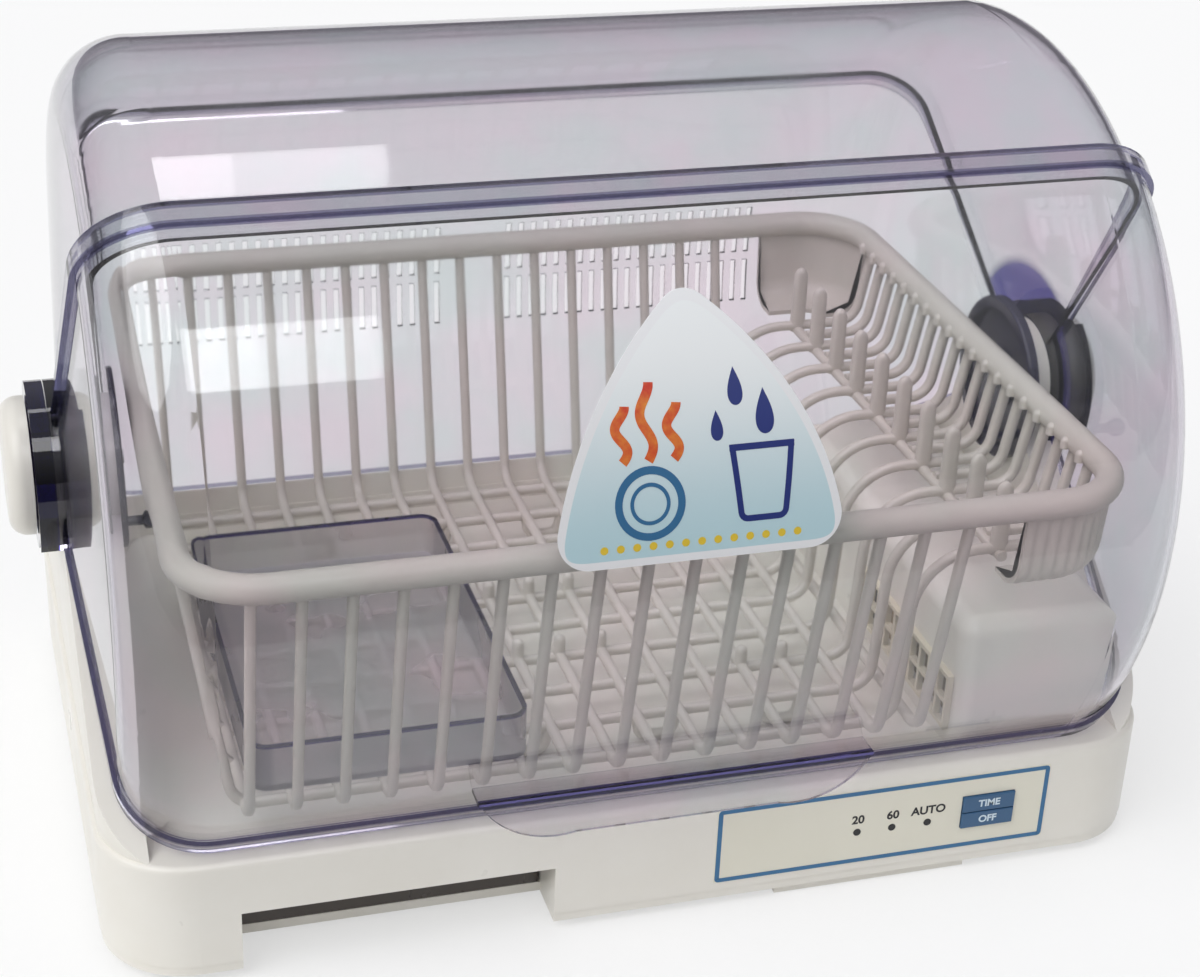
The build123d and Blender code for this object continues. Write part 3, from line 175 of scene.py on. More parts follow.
def rounded_rectangle(half_x, half_y, corner, arc_points=13):
    """Closed outline in a plane: four quarter circles about the corner centres, anticlockwise."""
    angles = np.linspace(0, math.pi / 2, arc_points)[None] + math.pi / 2 * np.arange(4)[:, None]
    signs = np.array([(1, 1), (-1, 1), (-1, -1), (1, -1)])
    centres = signs * (half_x - corner, half_y - corner)
    arcs = np.stack([np.cos(angles), np.sin(angles)], -1) * corner
    return (centres[:, None] + arcs).reshape(-1, 2)


def oval(half_u, half_v, power=2.0, count=12):
    """Closed profile |u/a|^p + |v/b|^p = 1: a circle at power 2, nearer a rounded square above it."""
    turn = np.linspace(0, 2 * math.pi, count, endpoint=False)
    u = np.sign(np.cos(turn)) * np.abs(np.cos(turn)) ** (2 / power)
    v = np.sign(np.sin(turn)) * np.abs(np.sin(turn)) ** (2 / power)
    return np.stack([half_u * u, half_v * v], -1)


def carry(path, profile, side, loop=False):
    """Profile carried along a path: each point is the path's point plus u times (side x direction)
    plus v times side."""
    if loop:
        direction = np.roll(path, -1, 0) - np.roll(path, 1, 0)
    else:
        direction = np.gradient(path, axis=0)
    side = np.asarray(side, float)
    across = norm(np.cross(side, norm(direction)))
    return path[:, None] + profile[None, :, :1] * across[:, None] + profile[None, :, 1:] * side


def skin(grid, loop=False):
    """Closed skin over a grid whose columns go round: quads between neighbours, and where the rows
    don't join, a fan of triangles about the middle of each end row."""
    rows, cols = grid.shape[:2]
    row = np.arange(rows if loop else rows - 1)[:, None]
    col = np.arange(cols)[None]
    below = (row + 1) % rows
    beside = (col + 1) % cols
    corners = [row * cols + col, row * cols + beside, below * cols + beside, below * cols + col]
    quads = np.stack(np.broadcast_arrays(*corners), -1).reshape(-1, 4)
    verts = grid.reshape(-1, 3)
    tris = np.empty((0, 3), int)
    if not loop:
        count = rows * cols
        verts = np.vstack([verts, grid[:1].mean(1), grid[-1:].mean(1)])
        ring = np.arange(cols)
        ahead = (ring + 1) % cols
        last = (rows - 1) * cols
        first_fan = np.stack([np.full(cols, count), ahead, ring], -1)
        last_fan = np.stack([np.full(cols, count + 1), last + ring, last + ahead], -1)
        tris = np.vstack([first_fan, last_fan])
    return outward(verts, quads, tris)


def outward(verts, quads, tris):
    """Faces turned to point out: the signed volume under all faces is made positive."""
    fans = np.vstack([quads[:, (0, 1, 2)], quads[:, (0, 2, 3)], tris])
    centred = verts - verts.mean(0)
    a, b, c = (centred[fans[:, corner]] for corner in range(3))
    if np.einsum("ij,ij->i", a, np.cross(b, c)).sum() < 0:
        quads, tris = quads[:, ::-1], tris[:, ::-1]
    return verts, quads, tris


def piece(name, parts, material, body):
    """One object from closed skins, riding on a body of the frame."""
    starts = np.cumsum([0] + [len(part[0]) for part in parts])
    verts = np.vstack([part[0] for part in parts])
    faces = []
    for start, (_, quads, tris) in zip(starts, parts):
        faces += (quads + start).tolist() + (tris + start).tolist()
    mesh = bpy.data.meshes.new(name)
    mesh.from_pydata(verts.tolist(), [], faces)
    return place(name, mesh, material, body)


def place(name, mesh, material, body):
    """Put a finished mesh into the scene at the origin and let it ride on its body."""
    mesh.materials.clear()
    mesh.materials.append(material)
    mesh.polygons.foreach_set("use_smooth", np.ones(len(mesh.polygons), bool))
    mesh.set_sharp_from_angle(angle=SHARP_ANGLE)
    made = bpy.data.objects.new(name, mesh)
    bpy.context.scene.collection.objects.link(made)
    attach(made, body)
    return made


# Material making

# Sockets of a Mix node that mixes colours
MIX_SHARE, MIX_FROM, MIX_TO, MIX_COLOUR = 0, 6, 7, 2


def linear(hex_code):
    """sRGB hex to linear: c / 12.92 up to 0.04045, and ((c + 0.055) / 1.055) ^ 2.4 above it."""
    srgb = np.array([int(hex_code[i:i + 2], 16) for i in (1, 3, 5)]) / 255
    light = np.where(srgb <= 0.04045, srgb / 12.92, ((srgb + 0.055) / 1.055) ** 2.4)
    return (*light.tolist(), 1.0)


def add(tree, kind, sockets=None, **settings):
    """Add one node: settings are its own properties, and each socket takes a constant or a link."""
    made = tree.nodes.new("ShaderNode" + kind)
    for key, value in settings.items():
        setattr(made, key, value)
    for key, value in (sockets or {}).items():
        if isinstance(value, bpy.types.NodeSocket):
            tree.links.new(value, made.inputs[key])
        else:
            made.inputs[key].default_value = value
    return made


def per_metre(size_mm):
    """Noise scale that gives features of a real size in millimetres."""
    return 1.0 / (size_mm * MM)


def start_material(name):
    """A material with an empty tree and its output node."""
    material = bpy.data.materials.new(name)
    material.use_nodes = True
    tree = material.node_tree
    tree.nodes.clear()
    return material, tree, add(tree, "OutputMaterial")


def moulded(name, base, worn, rough, grain, depth, blotch=55.0, ior=1.53, spread=0.35):
    """Moulded plastic: two close colours in soft blotches, a moulded grain in the bump, and roughness
    that drifts with handling. Grain, its depth and blotch are in millimetres; the real grain is finer
    and is drawn this coarse so that it shows."""
    material, tree, output = start_material(name)
    coords = add(tree, "TexCoord").outputs["Object"]
    clouds = add(tree, "TexNoise", {
        "Vector": coords, "Scale": per_metre(blotch), "Detail": 4.0, "Roughness": 0.6,
    }).outputs["Fac"]
    pits = add(tree, "TexNoise", {
        "Vector": coords, "Scale": per_metre(grain), "Detail": 3.0,
    }).outputs["Fac"]
    wear = add(tree, "MapRange", {
        "Value": clouds, "From Min": 0.35, "From Max": 0.75, "To Min": 0.0, "To Max": spread,
    }).outputs["Result"]
    tint = add(tree, "Mix", {
        MIX_SHARE: wear, MIX_FROM: linear(base), MIX_TO: linear(worn),
    }, data_type="RGBA").outputs[MIX_COLOUR]
    gloss = add(tree, "MapRange", {
        "Value": clouds, "From Min": 0.3, "From Max": 0.7, "To Min": rough - 0.05, "To Max": rough + 0.07,
    }).outputs["Result"]
    bump = add(tree, "Bump", {
        "Height": pits, "Strength": 0.35, "Distance": depth * MM,
    }).outputs["Normal"]
    shader = add(tree, "BsdfPrincipled", {
        "Base Color": tint, "Roughness": gloss, "Normal": bump, "IOR": ior,
    }).outputs["BSDF"]
    tree.links.new(shader, output.inputs["Surface"])
    return material


def metal(name, tone, rough, marks):
    """Metal with fine drawing marks, of a size in millimetres, that vary its roughness."""
    material, tree, output = start_material(name)
    coords = add(tree, "TexCoord").outputs["Object"]
    drawing = add(tree, "TexNoise", {
        "Vector": coords, "Scale": per_metre(marks), "Detail": 4.0,
    }).outputs["Fac"]
    gloss = add(tree, "MapRange", {
        "Value": drawing, "To Min": rough - 0.08, "To Max": rough + 0.12,
    }).outputs["Result"]
    shader = add(tree, "BsdfPrincipled", {
        "Base Color": linear(tone), "Metallic": 1.0, "Roughness": gloss,
    }).outputs["BSDF"]
    tree.links.new(shader, output.inputs["Surface"])
    return material


def largest(tree, values):
    """The largest of several sockets."""
    result = values[0]
    for value in values[1:]:
        result = add(tree, "Math", {0: result, 1: value}, operation="MAXIMUM").outputs[0]
    return result


def edge_shade_mask(tree, coords, edges):
    """Painted shade where clear plastic looks dark edge-on or thick: each edge is its share times a smooth
    step in each of its measures, and the mask is the largest of the edges. The measures are X, Z, |X|,
    the distance forward of the hinge line and above it, the angle up from the front in degrees, and the
    height over a slope that falls from the hinge line to the back."""
    parts = add(tree, "SeparateXYZ", {0: coords}).outputs
    forward = add(tree, "Math", {0: HUB_Y, 1: parts["Y"]}, operation="SUBTRACT").outputs[0]
    height = add(tree, "Math", {0: parts["Z"], 1: HUB_Z}, operation="SUBTRACT").outputs[0]
    turn = add(tree, "Math", {0: height, 1: forward}, operation="ARCTAN2").outputs[0]
    angle = add(tree, "Math", {0: turn, 1: 180 / math.pi}, operation="MULTIPLY").outputs[0]
    side = add(tree, "Math", {0: parts["X"]}, operation="ABSOLUTE").outputs[0]
    over_slope = add(
        tree, "Math", {0: forward, 1: -REAR_SLOPE, 2: height}, operation="MULTIPLY_ADD",
    ).outputs[0]
    measures = {
        "x": parts["X"], "z": parts["Z"], "side": side, "forward": forward, "height": height,
        "angle": angle, "over_slope": over_slope,
    }
    masks = []
    for share, steps in edges:
        mask = share
        for measure, begin, full in steps:
            step = add(
                tree, "MapRange", {"Value": measures[measure], "From Min": begin, "From Max": full},
                interpolation_type="SMOOTHSTEP",
            ).outputs["Result"]
            mask = add(tree, "Math", {0: mask, 1: step}, operation="MULTIPLY").outputs[0]
        masks.append(mask)
    return largest(tree, masks)


def clear_plastic(name, edges, depth_tint, density, rough=0.03):
    """Injection-moulded clear styrene: the tint deepens with the length of the way through it, rims,
    lines and rings get painted shade in a dark indigo, flow marks drift between a faint pink and a faint
    green and vary the gloss, and rays from lamps pass as through a pane."""
    material, tree, output = start_material(name)
    coords = add(tree, "TexCoord").outputs["Object"]
    flow = add(tree, "TexNoise", {
        "Vector": coords, "Scale": per_metre(60.0), "Detail": 3.0,
    }).outputs["Fac"]
    gloss = add(tree, "MapRange", {
        "Value": flow, "From Min": 0.3, "From Max": 0.7, "To Min": rough * 0.6, "To Max": rough * 1.5,
    }).outputs["Result"]
    strain = add(
        tree, "MapRange", {"Value": flow, "From Min": 0.35, "From Max": 0.65},
        interpolation_type="SMOOTHSTEP",
    ).outputs["Result"]
    sheen = add(tree, "Mix", {
        MIX_SHARE: strain, MIX_FROM: linear("#F9F3F6"), MIX_TO: linear("#F2F6F5"),
    }, data_type="RGBA").outputs[MIX_COLOUR]
    # painted shade: the dark indigo mixed in at rims, lines and rings where the plastic looks dark edge-on
    tint = add(tree, "Mix", {
        MIX_SHARE: edge_shade_mask(tree, coords, edges), MIX_FROM: sheen, MIX_TO: linear("#26216C"),
    }, data_type="RGBA").outputs[MIX_COLOUR]
    glass = add(tree, "BsdfPrincipled", {
        "Base Color": tint, "Roughness": gloss, "IOR": 1.49, "Transmission Weight": 1.0,
    }).outputs["BSDF"]
    pane = add(tree, "BsdfTransparent").outputs["BSDF"]
    from_lamp = add(tree, "LightPath").outputs["Is Shadow Ray"]
    mixed = add(tree, "MixShader", {0: from_lamp, 1: glass, 2: pane}).outputs["Shader"]
    tree.links.new(mixed, output.inputs["Surface"])
    deep = add(tree, "VolumeAbsorption", {"Color": linear(depth_tint), "Density": density})
    tree.links.new(deep.outputs["Volume"], output.inputs["Volume"])
    return material


def label_print(name):
    """White film with a printed field: the field starts a border's width inside the nearest of two arcs
    and the foot, and fades from cyan at the foot to white at the top."""
    material, tree, output = start_material(name)
    coords = add(tree, "TexCoord").outputs["Object"]
    parts = add(tree, "SeparateXYZ", {0: coords}).outputs
    rise = add(tree, "Math", {0: parts["Z"], 1: LABEL_ARC_Z}, operation="SUBTRACT").outputs[0]
    rise_square = add(tree, "Math", {0: rise, 1: rise}, operation="MULTIPLY").outputs[0]
    inside = add(tree, "Math", {0: parts["Z"], 1: LABEL_FOOT}, operation="SUBTRACT").outputs[0]
    for centre in (-LABEL_ARC_X, LABEL_ARC_X):
        run = add(tree, "Math", {0: parts["X"], 1: centre}, operation="SUBTRACT").outputs[0]
        square = add(tree, "Math", {0: run, 1: run, 2: rise_square}, operation="MULTIPLY_ADD").outputs[0]
        reach = add(tree, "Math", {0: square}, operation="SQRT").outputs[0]
        room = add(tree, "Math", {0: LABEL_ARC, 1: reach}, operation="SUBTRACT").outputs[0]
        inside = add(
            tree, "Math", {0: inside, 1: room, 2: LABEL_CORNER}, operation="SMOOTH_MIN",
        ).outputs[0]
    field = add(tree, "MapRange", {
        "Value": inside,
        "From Min": LABEL_BORDER - LABEL_BORDER_SOFT, "From Max": LABEL_BORDER + LABEL_BORDER_SOFT,
    }, interpolation_type="SMOOTHSTEP").outputs["Result"]
    fading = add(tree, "MapRange", {
        "Value": parts["Z"], "From Min": LABEL_FADE_LOW, "From Max": LABEL_FADE_HIGH,
    }, interpolation_type="SMOOTHSTEP").outputs["Result"]
    fade = add(tree, "Mix", {
        MIX_SHARE: fading, MIX_FROM: linear("#BFDDE4"), MIX_TO: linear("#F3F6F6"),
    }, data_type="RGBA").outputs[MIX_COLOUR]
    tint = add(tree, "Mix", {
        MIX_SHARE: field, MIX_FROM: linear("#F1F2F3"), MIX_TO: fade,
    }, data_type="RGBA").outputs[MIX_COLOUR]
    shader = add(tree, "BsdfPrincipled", {"Base Color": tint, "Roughness": 0.35}).outputs["BSDF"]
    tree.links.new(shader, output.inputs["Surface"])
    return material


# Painted shade on the clear pieces, where the plastic looks dark edge-on or thick: each edge's share, and
# its measures from where they begin to where they are full
LID_EDGE_SHADE = [
    (0.14, [("angle", 52.9, 53.1)]),  # top rim
    (0.85, [("angle", 52.9, 53.0), ("angle", 53.5, 53.4)]),  # lower line of the rim
    (0.85, [("angle", 55.5, 55.7)]),  # upper line of the rim
    (0.26, [("angle", -32.5, -32.7)]),  # bottom flange
    (0.85, [("angle", -33.1, -33.0), ("angle", -32.5, -32.6)]),  # upper line of the flange
    (0.85, [("angle", -34.5, -34.7)]),  # lower line of the flange
    (0.2, [("side", 214.0 * MM, 236.0 * MM)]),  # both ends
    (1.0, [("side", 249.2 * MM, 249.7 * MM)]),  # rings
]
HANDLE_LIP = ("forward", HANDLE_FRONT - 3.2 * MM, HANDLE_FRONT - 2.8 * MM)
HANDLE_EDGE_SHADE = [
    (1.0, [HANDLE_LIP, ("height", HANDLE_TOP - 3.4 * MM, HANDLE_TOP - 3.0 * MM)]),  # edge of the shelf
    (0.1, [HANDLE_LIP]),  # hanging lip
]
UPPER_EDGE_SHADE = [
    (0.05, [("angle", 143.5, 143.7)]),  # rear cut
    (0.05, [("angle", 52.5, 52.3)]),  # front cut
    (1.0, [("side", 240.8 * MM, 241.3 * MM)]),  # rings
]
REAR_EDGE_SHADE = [
    (0.6, [("angle", 141.3, 141.1), ("height", 0.0, 10.0 * MM)]),  # front edge
    (0.6, [("forward", -30.0 * MM, -40.0 * MM), ("over_slope", 3.0 * MM, 2.4 * MM)]),  # foot at the back
]
TRAY_EDGE_SHADE = [
    (1.0, [("z", TRAY_HIGH.z - 1.6 * MM, TRAY_HIGH.z - 1.2 * MM)]),  # cut top edge
    (0.3, [("x", TRAY_LOW.x + 12.0 * MM, TRAY_LOW.x + 8.0 * MM)]),  # left wall
]


# Finishes

# ABS, spark-eroded mould: warm white with a soft sheen
WHITE_ABS = moulded("abs_moulded_warm_white", "#EBE8DF", "#E0DBCE", rough=0.32, grain=0.9, depth=0.02)
# Polypropylene, moulded: warm grey-white, waxier and softer than the base
BASKET_PP = moulded(
    "polypropylene_moulded_grey_white", "#CCC7BD", "#BFBAAF", rough=0.40, grain=1.2, depth=0.02,
    blotch=35.0, ior=1.49,
)
# ABS, moulded cream: outlet grille, yellower than the base
CREAM_ABS = moulded("abs_moulded_cream", "#DED7C1", "#D2C9AF", rough=0.42, grain=0.8, depth=0.02)
# Polycarbonate, moulded dark indigo: pivot plates, glossy and nearly black
INDIGO_PC = moulded(
    "polycarbonate_moulded_indigo", "#211F33", "#2E2B47", rough=0.22, grain=1.5, depth=0.02, ior=1.58,
)
# Styrene, glossy brown-black: the drip tray, whose dark colour is painted shade of the recess it sits back
# in
DRIP_TRAY_SHADE = moulded(
    "styrene_drip_tray_painted_shade", "#33291F", "#3F3327", rough=0.28, grain=1.2, depth=0.02, ior=1.59,
)
# Nylon, turned: pins, milky and satin
NYLON = moulded("nylon_turned_natural", "#DCD8CC", "#CFC9BA", rough=0.45, grain=0.6, depth=0.02)
# Rubber, moulded: feet and lead bush, matt black
RUBBER = moulded("rubber_moulded_black", "#1B1B1B", "#262524", rough=0.75, grain=0.5, depth=0.05)
# ABS, moulded blue: buttons, satin
BLUE_ABS = moulded("abs_moulded_steel_blue", "#315A80", "#3A6489", rough=0.38, grain=0.8, depth=0.015)
# Acrylic, dark tinted: lamp windows, polished
DARK_PMMA = moulded("acrylic_tinted_black", "#0E0E10", "#17161A", rough=0.15, grain=1.0, depth=0.005)
# Polyester film, screen printed cream: control panel, smooth and satin
PANEL_FILM = moulded("polyester_printed_cream", "#E6E3D3", "#DDD9C7", rough=0.38, grain=0.5, depth=0.008)
# Screen ink on film: flat and a little duller than the film
BLUE_INK = moulded("ink_printed_steel_blue", "#2F6B97", "#3B76A0", rough=0.45, grain=0.5, depth=0.005)
BLACK_INK = moulded("ink_printed_black", "#1D1C1E", "#29272A", rough=0.5, grain=0.5, depth=0.005)
PALE_INK = moulded("ink_printed_pale_blue", "#CFE0EA", "#DCE8EE", rough=0.5, grain=0.5, depth=0.005)
NAVY_INK = moulded("ink_printed_navy", "#1F2F77", "#2B3D88", rough=0.45, grain=0.5, depth=0.005)
YELLOW_INK = moulded("ink_printed_yellow", "#E9C93B", "#E0B92C", rough=0.45, grain=0.5, depth=0.005)
# Screen ink, blended from red to orange
ORANGE_INK = moulded(
    "ink_printed_orange_red", "#D2381F", "#EE9A33", rough=0.45, grain=0.5, depth=0.005,
    blotch=9.0, spread=1.0,
)
# Glass-filled nylon, moulded: blower, dull black
FAN_PLASTIC = moulded("glass_nylon_moulded_black", "#1F1F21", "#2B2A2C", rough=0.55, grain=0.7, depth=0.04)
# Mica board, pressed: heater frame, flaky tan
MICA = moulded("mica_board_pressed_tan", "#B39C78", "#9C8560", rough=0.6, grain=1.5, depth=0.05)
# Laminate, coated: circuit board, green lacquer
LAMINATE = moulded("laminate_coated_green", "#1F5B38", "#2A6B45", rough=0.4, grain=1.0, depth=0.01)
# Phenolic, moulded: relay, transformer and switches, dull black
PHENOLIC = moulded("phenolic_moulded_black", "#222124", "#2E2C30", rough=0.5, grain=0.8, depth=0.03)
# Resin, cast red: lamps, glossy
RED_RESIN = moulded("resin_cast_red", "#A32018", "#B83326", rough=0.2, grain=1.0, depth=0.005)
# Steel, zinc plated: screws and motor can, bright grey
ZINC_STEEL = metal("steel_zinc_plated", "#B9B9BC", rough=0.35, marks=1.0)
# Aluminium, stamped: heater fins, pale and satin
ALUMINIUM = metal("aluminium_stamped", "#C9C9CC", rough=0.4, marks=0.8)
# Polyester film, printed: white label with a cyan fade
LABEL_FILM = label_print("polyester_film_printed_label")

# Styrene, moulded clear: smoky lavender that deepens per metre of the way through it; the tray is duller
COVER_TINT = "#C8C3D2"
COVER_DENSITY = 74.0
UPPER_DENSITY = 150.0
TRAY_TINT = "#BDB6C6"
TRAY_DENSITY = 130.0
LID_CLEAR = clear_plastic("styrene_moulded_clear_lid", LID_EDGE_SHADE, COVER_TINT, COVER_DENSITY)
HANDLE_CLEAR = clear_plastic("styrene_moulded_clear_handle", HANDLE_EDGE_SHADE, COVER_TINT, COVER_DENSITY)
UPPER_CLEAR = clear_plastic("styrene_moulded_clear_upper", UPPER_EDGE_SHADE, COVER_TINT, UPPER_DENSITY)
REAR_CLEAR = clear_plastic("styrene_moulded_clear_rear", REAR_EDGE_SHADE, COVER_TINT, COVER_DENSITY)
TRAY_CLEAR = clear_plastic("styrene_moulded_smoky_tray", TRAY_EDGE_SHADE, TRAY_TINT, TRAY_DENSITY, rough=0.28)

FINISHES = [
    (WHITE_ABS, ("base_housing", "bottom_plate", "hinge_cap_left", "hinge_cap_right")),
    (RUBBER, ("rubber_feet", "cord_inlet")),
    (ZINC_STEEL, ("base_screws", "board_screws", "hinge_screws", "fan_motor")),
    (ALUMINIUM, ("heater_fins",)),
    (MICA, ("heater_frame",)),
    # drip tray: dark brown-black as painted shade of its recess
    (DRIP_TRAY_SHADE, ("drip_tray",)),
    (PANEL_FILM, ("control_panel",)),
    (BLUE_ABS, ("time_button", "off_button")),
    (PHENOLIC, ("tact_switches", "power_parts")),
    (LAMINATE, ("control_board",)),
    (RED_RESIN, ("status_lamps",)),
    (DARK_PMMA, ("indicator_lenses",)),
    (REAR_CLEAR, ("rear_cover",)),
    (UPPER_CLEAR, ("upper_cover",)),
    (LID_CLEAR, ("front_lid",)),
    (HANDLE_CLEAR, ("lid_handle",)),
    (LABEL_FILM, ("lid_label",)),
    (NYLON, ("hinge_pin_left", "hinge_pin_right")),
    (INDIGO_PC, ("stop_pins", "pivot_plate_left", "pivot_plate_right")),
    (BASKET_PP, ("dish_basket",)),
    (TRAY_CLEAR, ("cutlery_tray",)),
    (FAN_PLASTIC, ("fan_housing", "fan_wheel")),
    (CREAM_ABS, ("air_grille",)),
]
for finish, node_names in FINISHES:
    for node_name in node_names:
        nodes[node_name].data.materials.clear()
        nodes[node_name].data.materials.append(finish)


# Dish basket

def in_frame(flat, x=None, y=None):
    """Points of a plane set into the frame: (y, z) pairs at one X, or (x, z) pairs at one Y."""
    flat = np.asarray(flat, float)
    level = np.full(len(flat), x if y is None else y)
    if y is None:
        return np.stack([level, flat[:, 0] + HUB_Y, flat[:, 1]], -1)
    return np.stack([flat[:, 0], level + HUB_Y, flat[:, 1]], -1)


def front_back_ribs():
    """U-shaped ribs across the depth: down from the front rim, along the floor and up to the back rim."""
    corners = [
        (-RIM_HALF_Y, RIM_Z), (-FLOOR_HALF_Y, FLOOR_Z), (FLOOR_HALF_Y, FLOOR_Z), (RIM_HALF_Y, RIM_Z),
    ]
    line = bent_line(corners, [RIB_BEND, RIB_BEND])
    profile = oval(RIB / 2, RIB / 2, RIB_POWER)
    return [skin(carry(in_frame(line, x=x), profile, (1, 0, 0))) for x in RIB_XS]


def side_ribs():
    """Ribs across the width: every second one runs from the left rim over the floor, up the step and
    along the shelf to the right rim, and the ones between only line the shelf."""
    wall = [(SHELF_RIGHT, SHELF_Z), (RIM_HALF_X, RIM_Z)]
    floor = FLOOR_Z - RIB / 3
    long_line = bent_line(
        [(-RIM_HALF_X, RIM_Z), (FLOOR_LEFT, floor), (STEP_X, floor), (STEP_X + RIB, SHELF_Z)] + wall,
        [RIB_BEND, RIB_BEND, STEP_BEND, RIB_BEND],
    )
    short_line = bent_line([(SHELF_LEFT, SHELF_Z)] + wall, [RIB_BEND])
    profile = oval(RIB / 2, RIB / 2, RIB_POWER)
    parts = []
    for index, y in enumerate(CROSS_YS):
        line = short_line if index % 2 else long_line
        parts.append(skin(carry(in_frame(line, y=y), profile, (0, 1, 0))))
    return parts


def rim():
    """Round tube carried round a rounded rectangle."""
    outline = rounded_rectangle(RIM_HALF_X, RIM_HALF_Y, RIM_CORNER)
    path = np.column_stack([outline[:, 0], outline[:, 1] + HUB_Y, np.full(len(outline), RIM_Z)])
    return skin(carry(path, oval(RIM_TUBE, RIM_TUBE, count=20), (0, 0, 1), loop=True), loop=True)


def prongs():
    """Flat upright tongues on the shelf's edge: an oval column that narrows a little on the way up and
    whose width closes as a half circle from the crown on."""
    crown = 1 - PRONG_CROWN
    share = np.concatenate([
        np.linspace(0, PRONG_CROWN, 6), PRONG_CROWN + crown * np.sin(np.linspace(0.2, 1.5, 6)),
    ])
    top = np.clip((share - PRONG_CROWN) / crown, 0, 0.999)
    width = np.sqrt(1 - top ** 2) * (1.08 - 0.12 * share)
    profile = oval(PRONG_HALF_X, PRONG_HALF_Y, PRONG_POWER, 14)
    parts = []
    for y in CROSS_YS[::2]:
        base = np.array([SHELF_LEFT, y + HUB_Y, SHELF_Z - PRONG_ROOT])
        column = np.zeros((len(share), len(profile), 3))
        column[..., 0] = profile[None, :, 0] * width[:, None]
        column[..., 1] = profile[None, :, 1] * np.sqrt(width)[:, None]
        column[..., 2] = (share * (PRONG_HEIGHT + PRONG_ROOT))[:, None]
        parts.append(skin(base + column))
    return parts


def shelf_bar():
    """Straight bar under the shelf's edge."""
    reach = CROSS_YS[-1] + RIB
    path = np.array([(SHELF_LEFT, y + HUB_Y, SHELF_Z - RIB / 2) for y in np.linspace(-reach, reach, 5)])
    return skin(carry(path, oval(RIB / 2, RIB / 2, RIB_POWER), (0, 0, 1)))


def scoop(side, groove):
    """Closed corner panel: a wall with a round foot, carried along the rim's corner; its face swells by
    a cosine of the run, which leaves fine upright grooves where their depth isn't nought."""
    bend = bent_line(
        [(SCOOP_X, side * RIM_HALF_Y), (RIM_HALF_X, side * RIM_HALF_Y), (RIM_HALF_X, side * SCOOP_Y)],
        [RIM_CORNER - SCOOP_INSET], 60,
    )
    corner, run = even_points(bend, 150)
    inward = norm(np.gradient(corner, axis=0))[:, ::-1] * (side, -side)
    foot = bent_line([(0, RIM_Z), (SCOOP_LEAN, SHELF_Z), (SCOOP_FOOT, SHELF_Z)], [SCOOP_BEND], 12)
    lift = norm(np.gradient(foot, axis=0))[:, ::-1] * (-1, 1)
    profile = np.vstack([foot - SCOOP_HALF_WALL * lift, (foot + SCOOP_HALF_WALL * lift)[::-1]])
    swell = groove * np.cos(2 * math.pi * run / GROOVE_PITCH)
    depth = profile[None, :, 0] + swell[:, None]
    grid = np.empty((len(corner), len(profile), 3))
    grid[..., :2] = corner[:, None] + inward[:, None] * depth[..., None]
    grid[..., 1] += HUB_Y
    grid[..., 2] = profile[None, :, 1]
    return skin(grid)


def turned(x, y, radii, heights):
    """Round form about an upright line: one ring of each radius at each height."""
    ring = oval(1, 1)
    grid = np.empty((len(heights), len(ring), 3))
    grid[..., :2] = radii[:, None, None] * ring[None] + (x, y)
    grid[..., 2] = heights[:, None]
    return skin(grid)


def half_ball():
    """Radius cos(a) and height sin(a) of a half ball's rings, which stop just short of its pole."""
    turn = np.linspace(0, math.pi / 2 - 0.05, 6)
    return np.cos(turn), np.sin(turn)


def pegs():
    """Short round pegs on the floor's crossings, a little wider at the foot, closing as a half ball."""
    radius, height = half_ball()
    radii = np.concatenate([[PEG_FOOT_RADIUS, PEG_RADIUS], PEG_RADIUS * radius])
    heights = FLOOR_Z + np.concatenate([[0, PEG_HEIGHT], PEG_HEIGHT + PEG_RADIUS * height])
    return [turned(x * MM, y * MM + HUB_Y, radii, heights) for x, y in PEG_PLACES_MM]


def beads():
    """Half balls where the shelf's ribs end inside the rim, on short stems that reach into the tube."""
    radius, height = half_ball()
    radii = BEAD_RADIUS * np.concatenate([[1.0], radius])
    heights = RIM_Z + BEAD_RADIUS * np.concatenate([[-1.5], height])
    return [turned(RIM_HALF_X - RIM_TUBE, y + HUB_Y, radii, heights) for y in CROSS_YS]


def loop_feet():
    """U-shaped loops under the floor that stand on the pan."""
    profile = oval(RIB / 2, RIB / 2, LOOP_POWER)
    low = PAN_FLOOR + RIB / 2
    parts = []
    for x in LOOP_XS:
        corners = [
            (x - LOOP_HALF_TOP, FLOOR_Z), (x - LOOP_HALF_FOOT, low),
            (x + LOOP_HALF_FOOT, low), (x + LOOP_HALF_TOP, FLOOR_Z),
        ]
        loop = bent_line(corners, [LOOP_BEND, LOOP_BEND])
        for y in (-LOOP_Y, LOOP_Y):
            parts.append(skin(carry(in_frame(loop, y=y), profile, (0, 1, 0))))
    return parts


basket_frame = front_back_ribs() + side_ribs() + [rim(), shelf_bar()]
basket_fittings = [scoop(-1, GROOVE_DEPTH), scoop(1, 0.0)] + prongs() + pegs() + beads() + loop_feet()
basket = piece("basket", basket_frame + basket_fittings, BASKET_PP, "base")
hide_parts("dish_basket")


# Prints on the panel, the buttons and the lid

def on_panel(points):
    """Points (x, z, lift) set on the upright panel."""
    return np.stack([points[..., 0], PANEL_FACE - points[..., 2], points[..., 1]], -1)


def on_lid(points):
    """Points (x, z, lift) set on the lid's round front: y is minus the root of radius^2 - height^2."""
    height = points[..., 1] - HUB_Z
    depth = np.sqrt((LABEL_FACE + points[..., 2]) ** 2 - height ** 2)
    return np.stack([points[..., 0], HUB_Y - depth, points[..., 1]], -1)


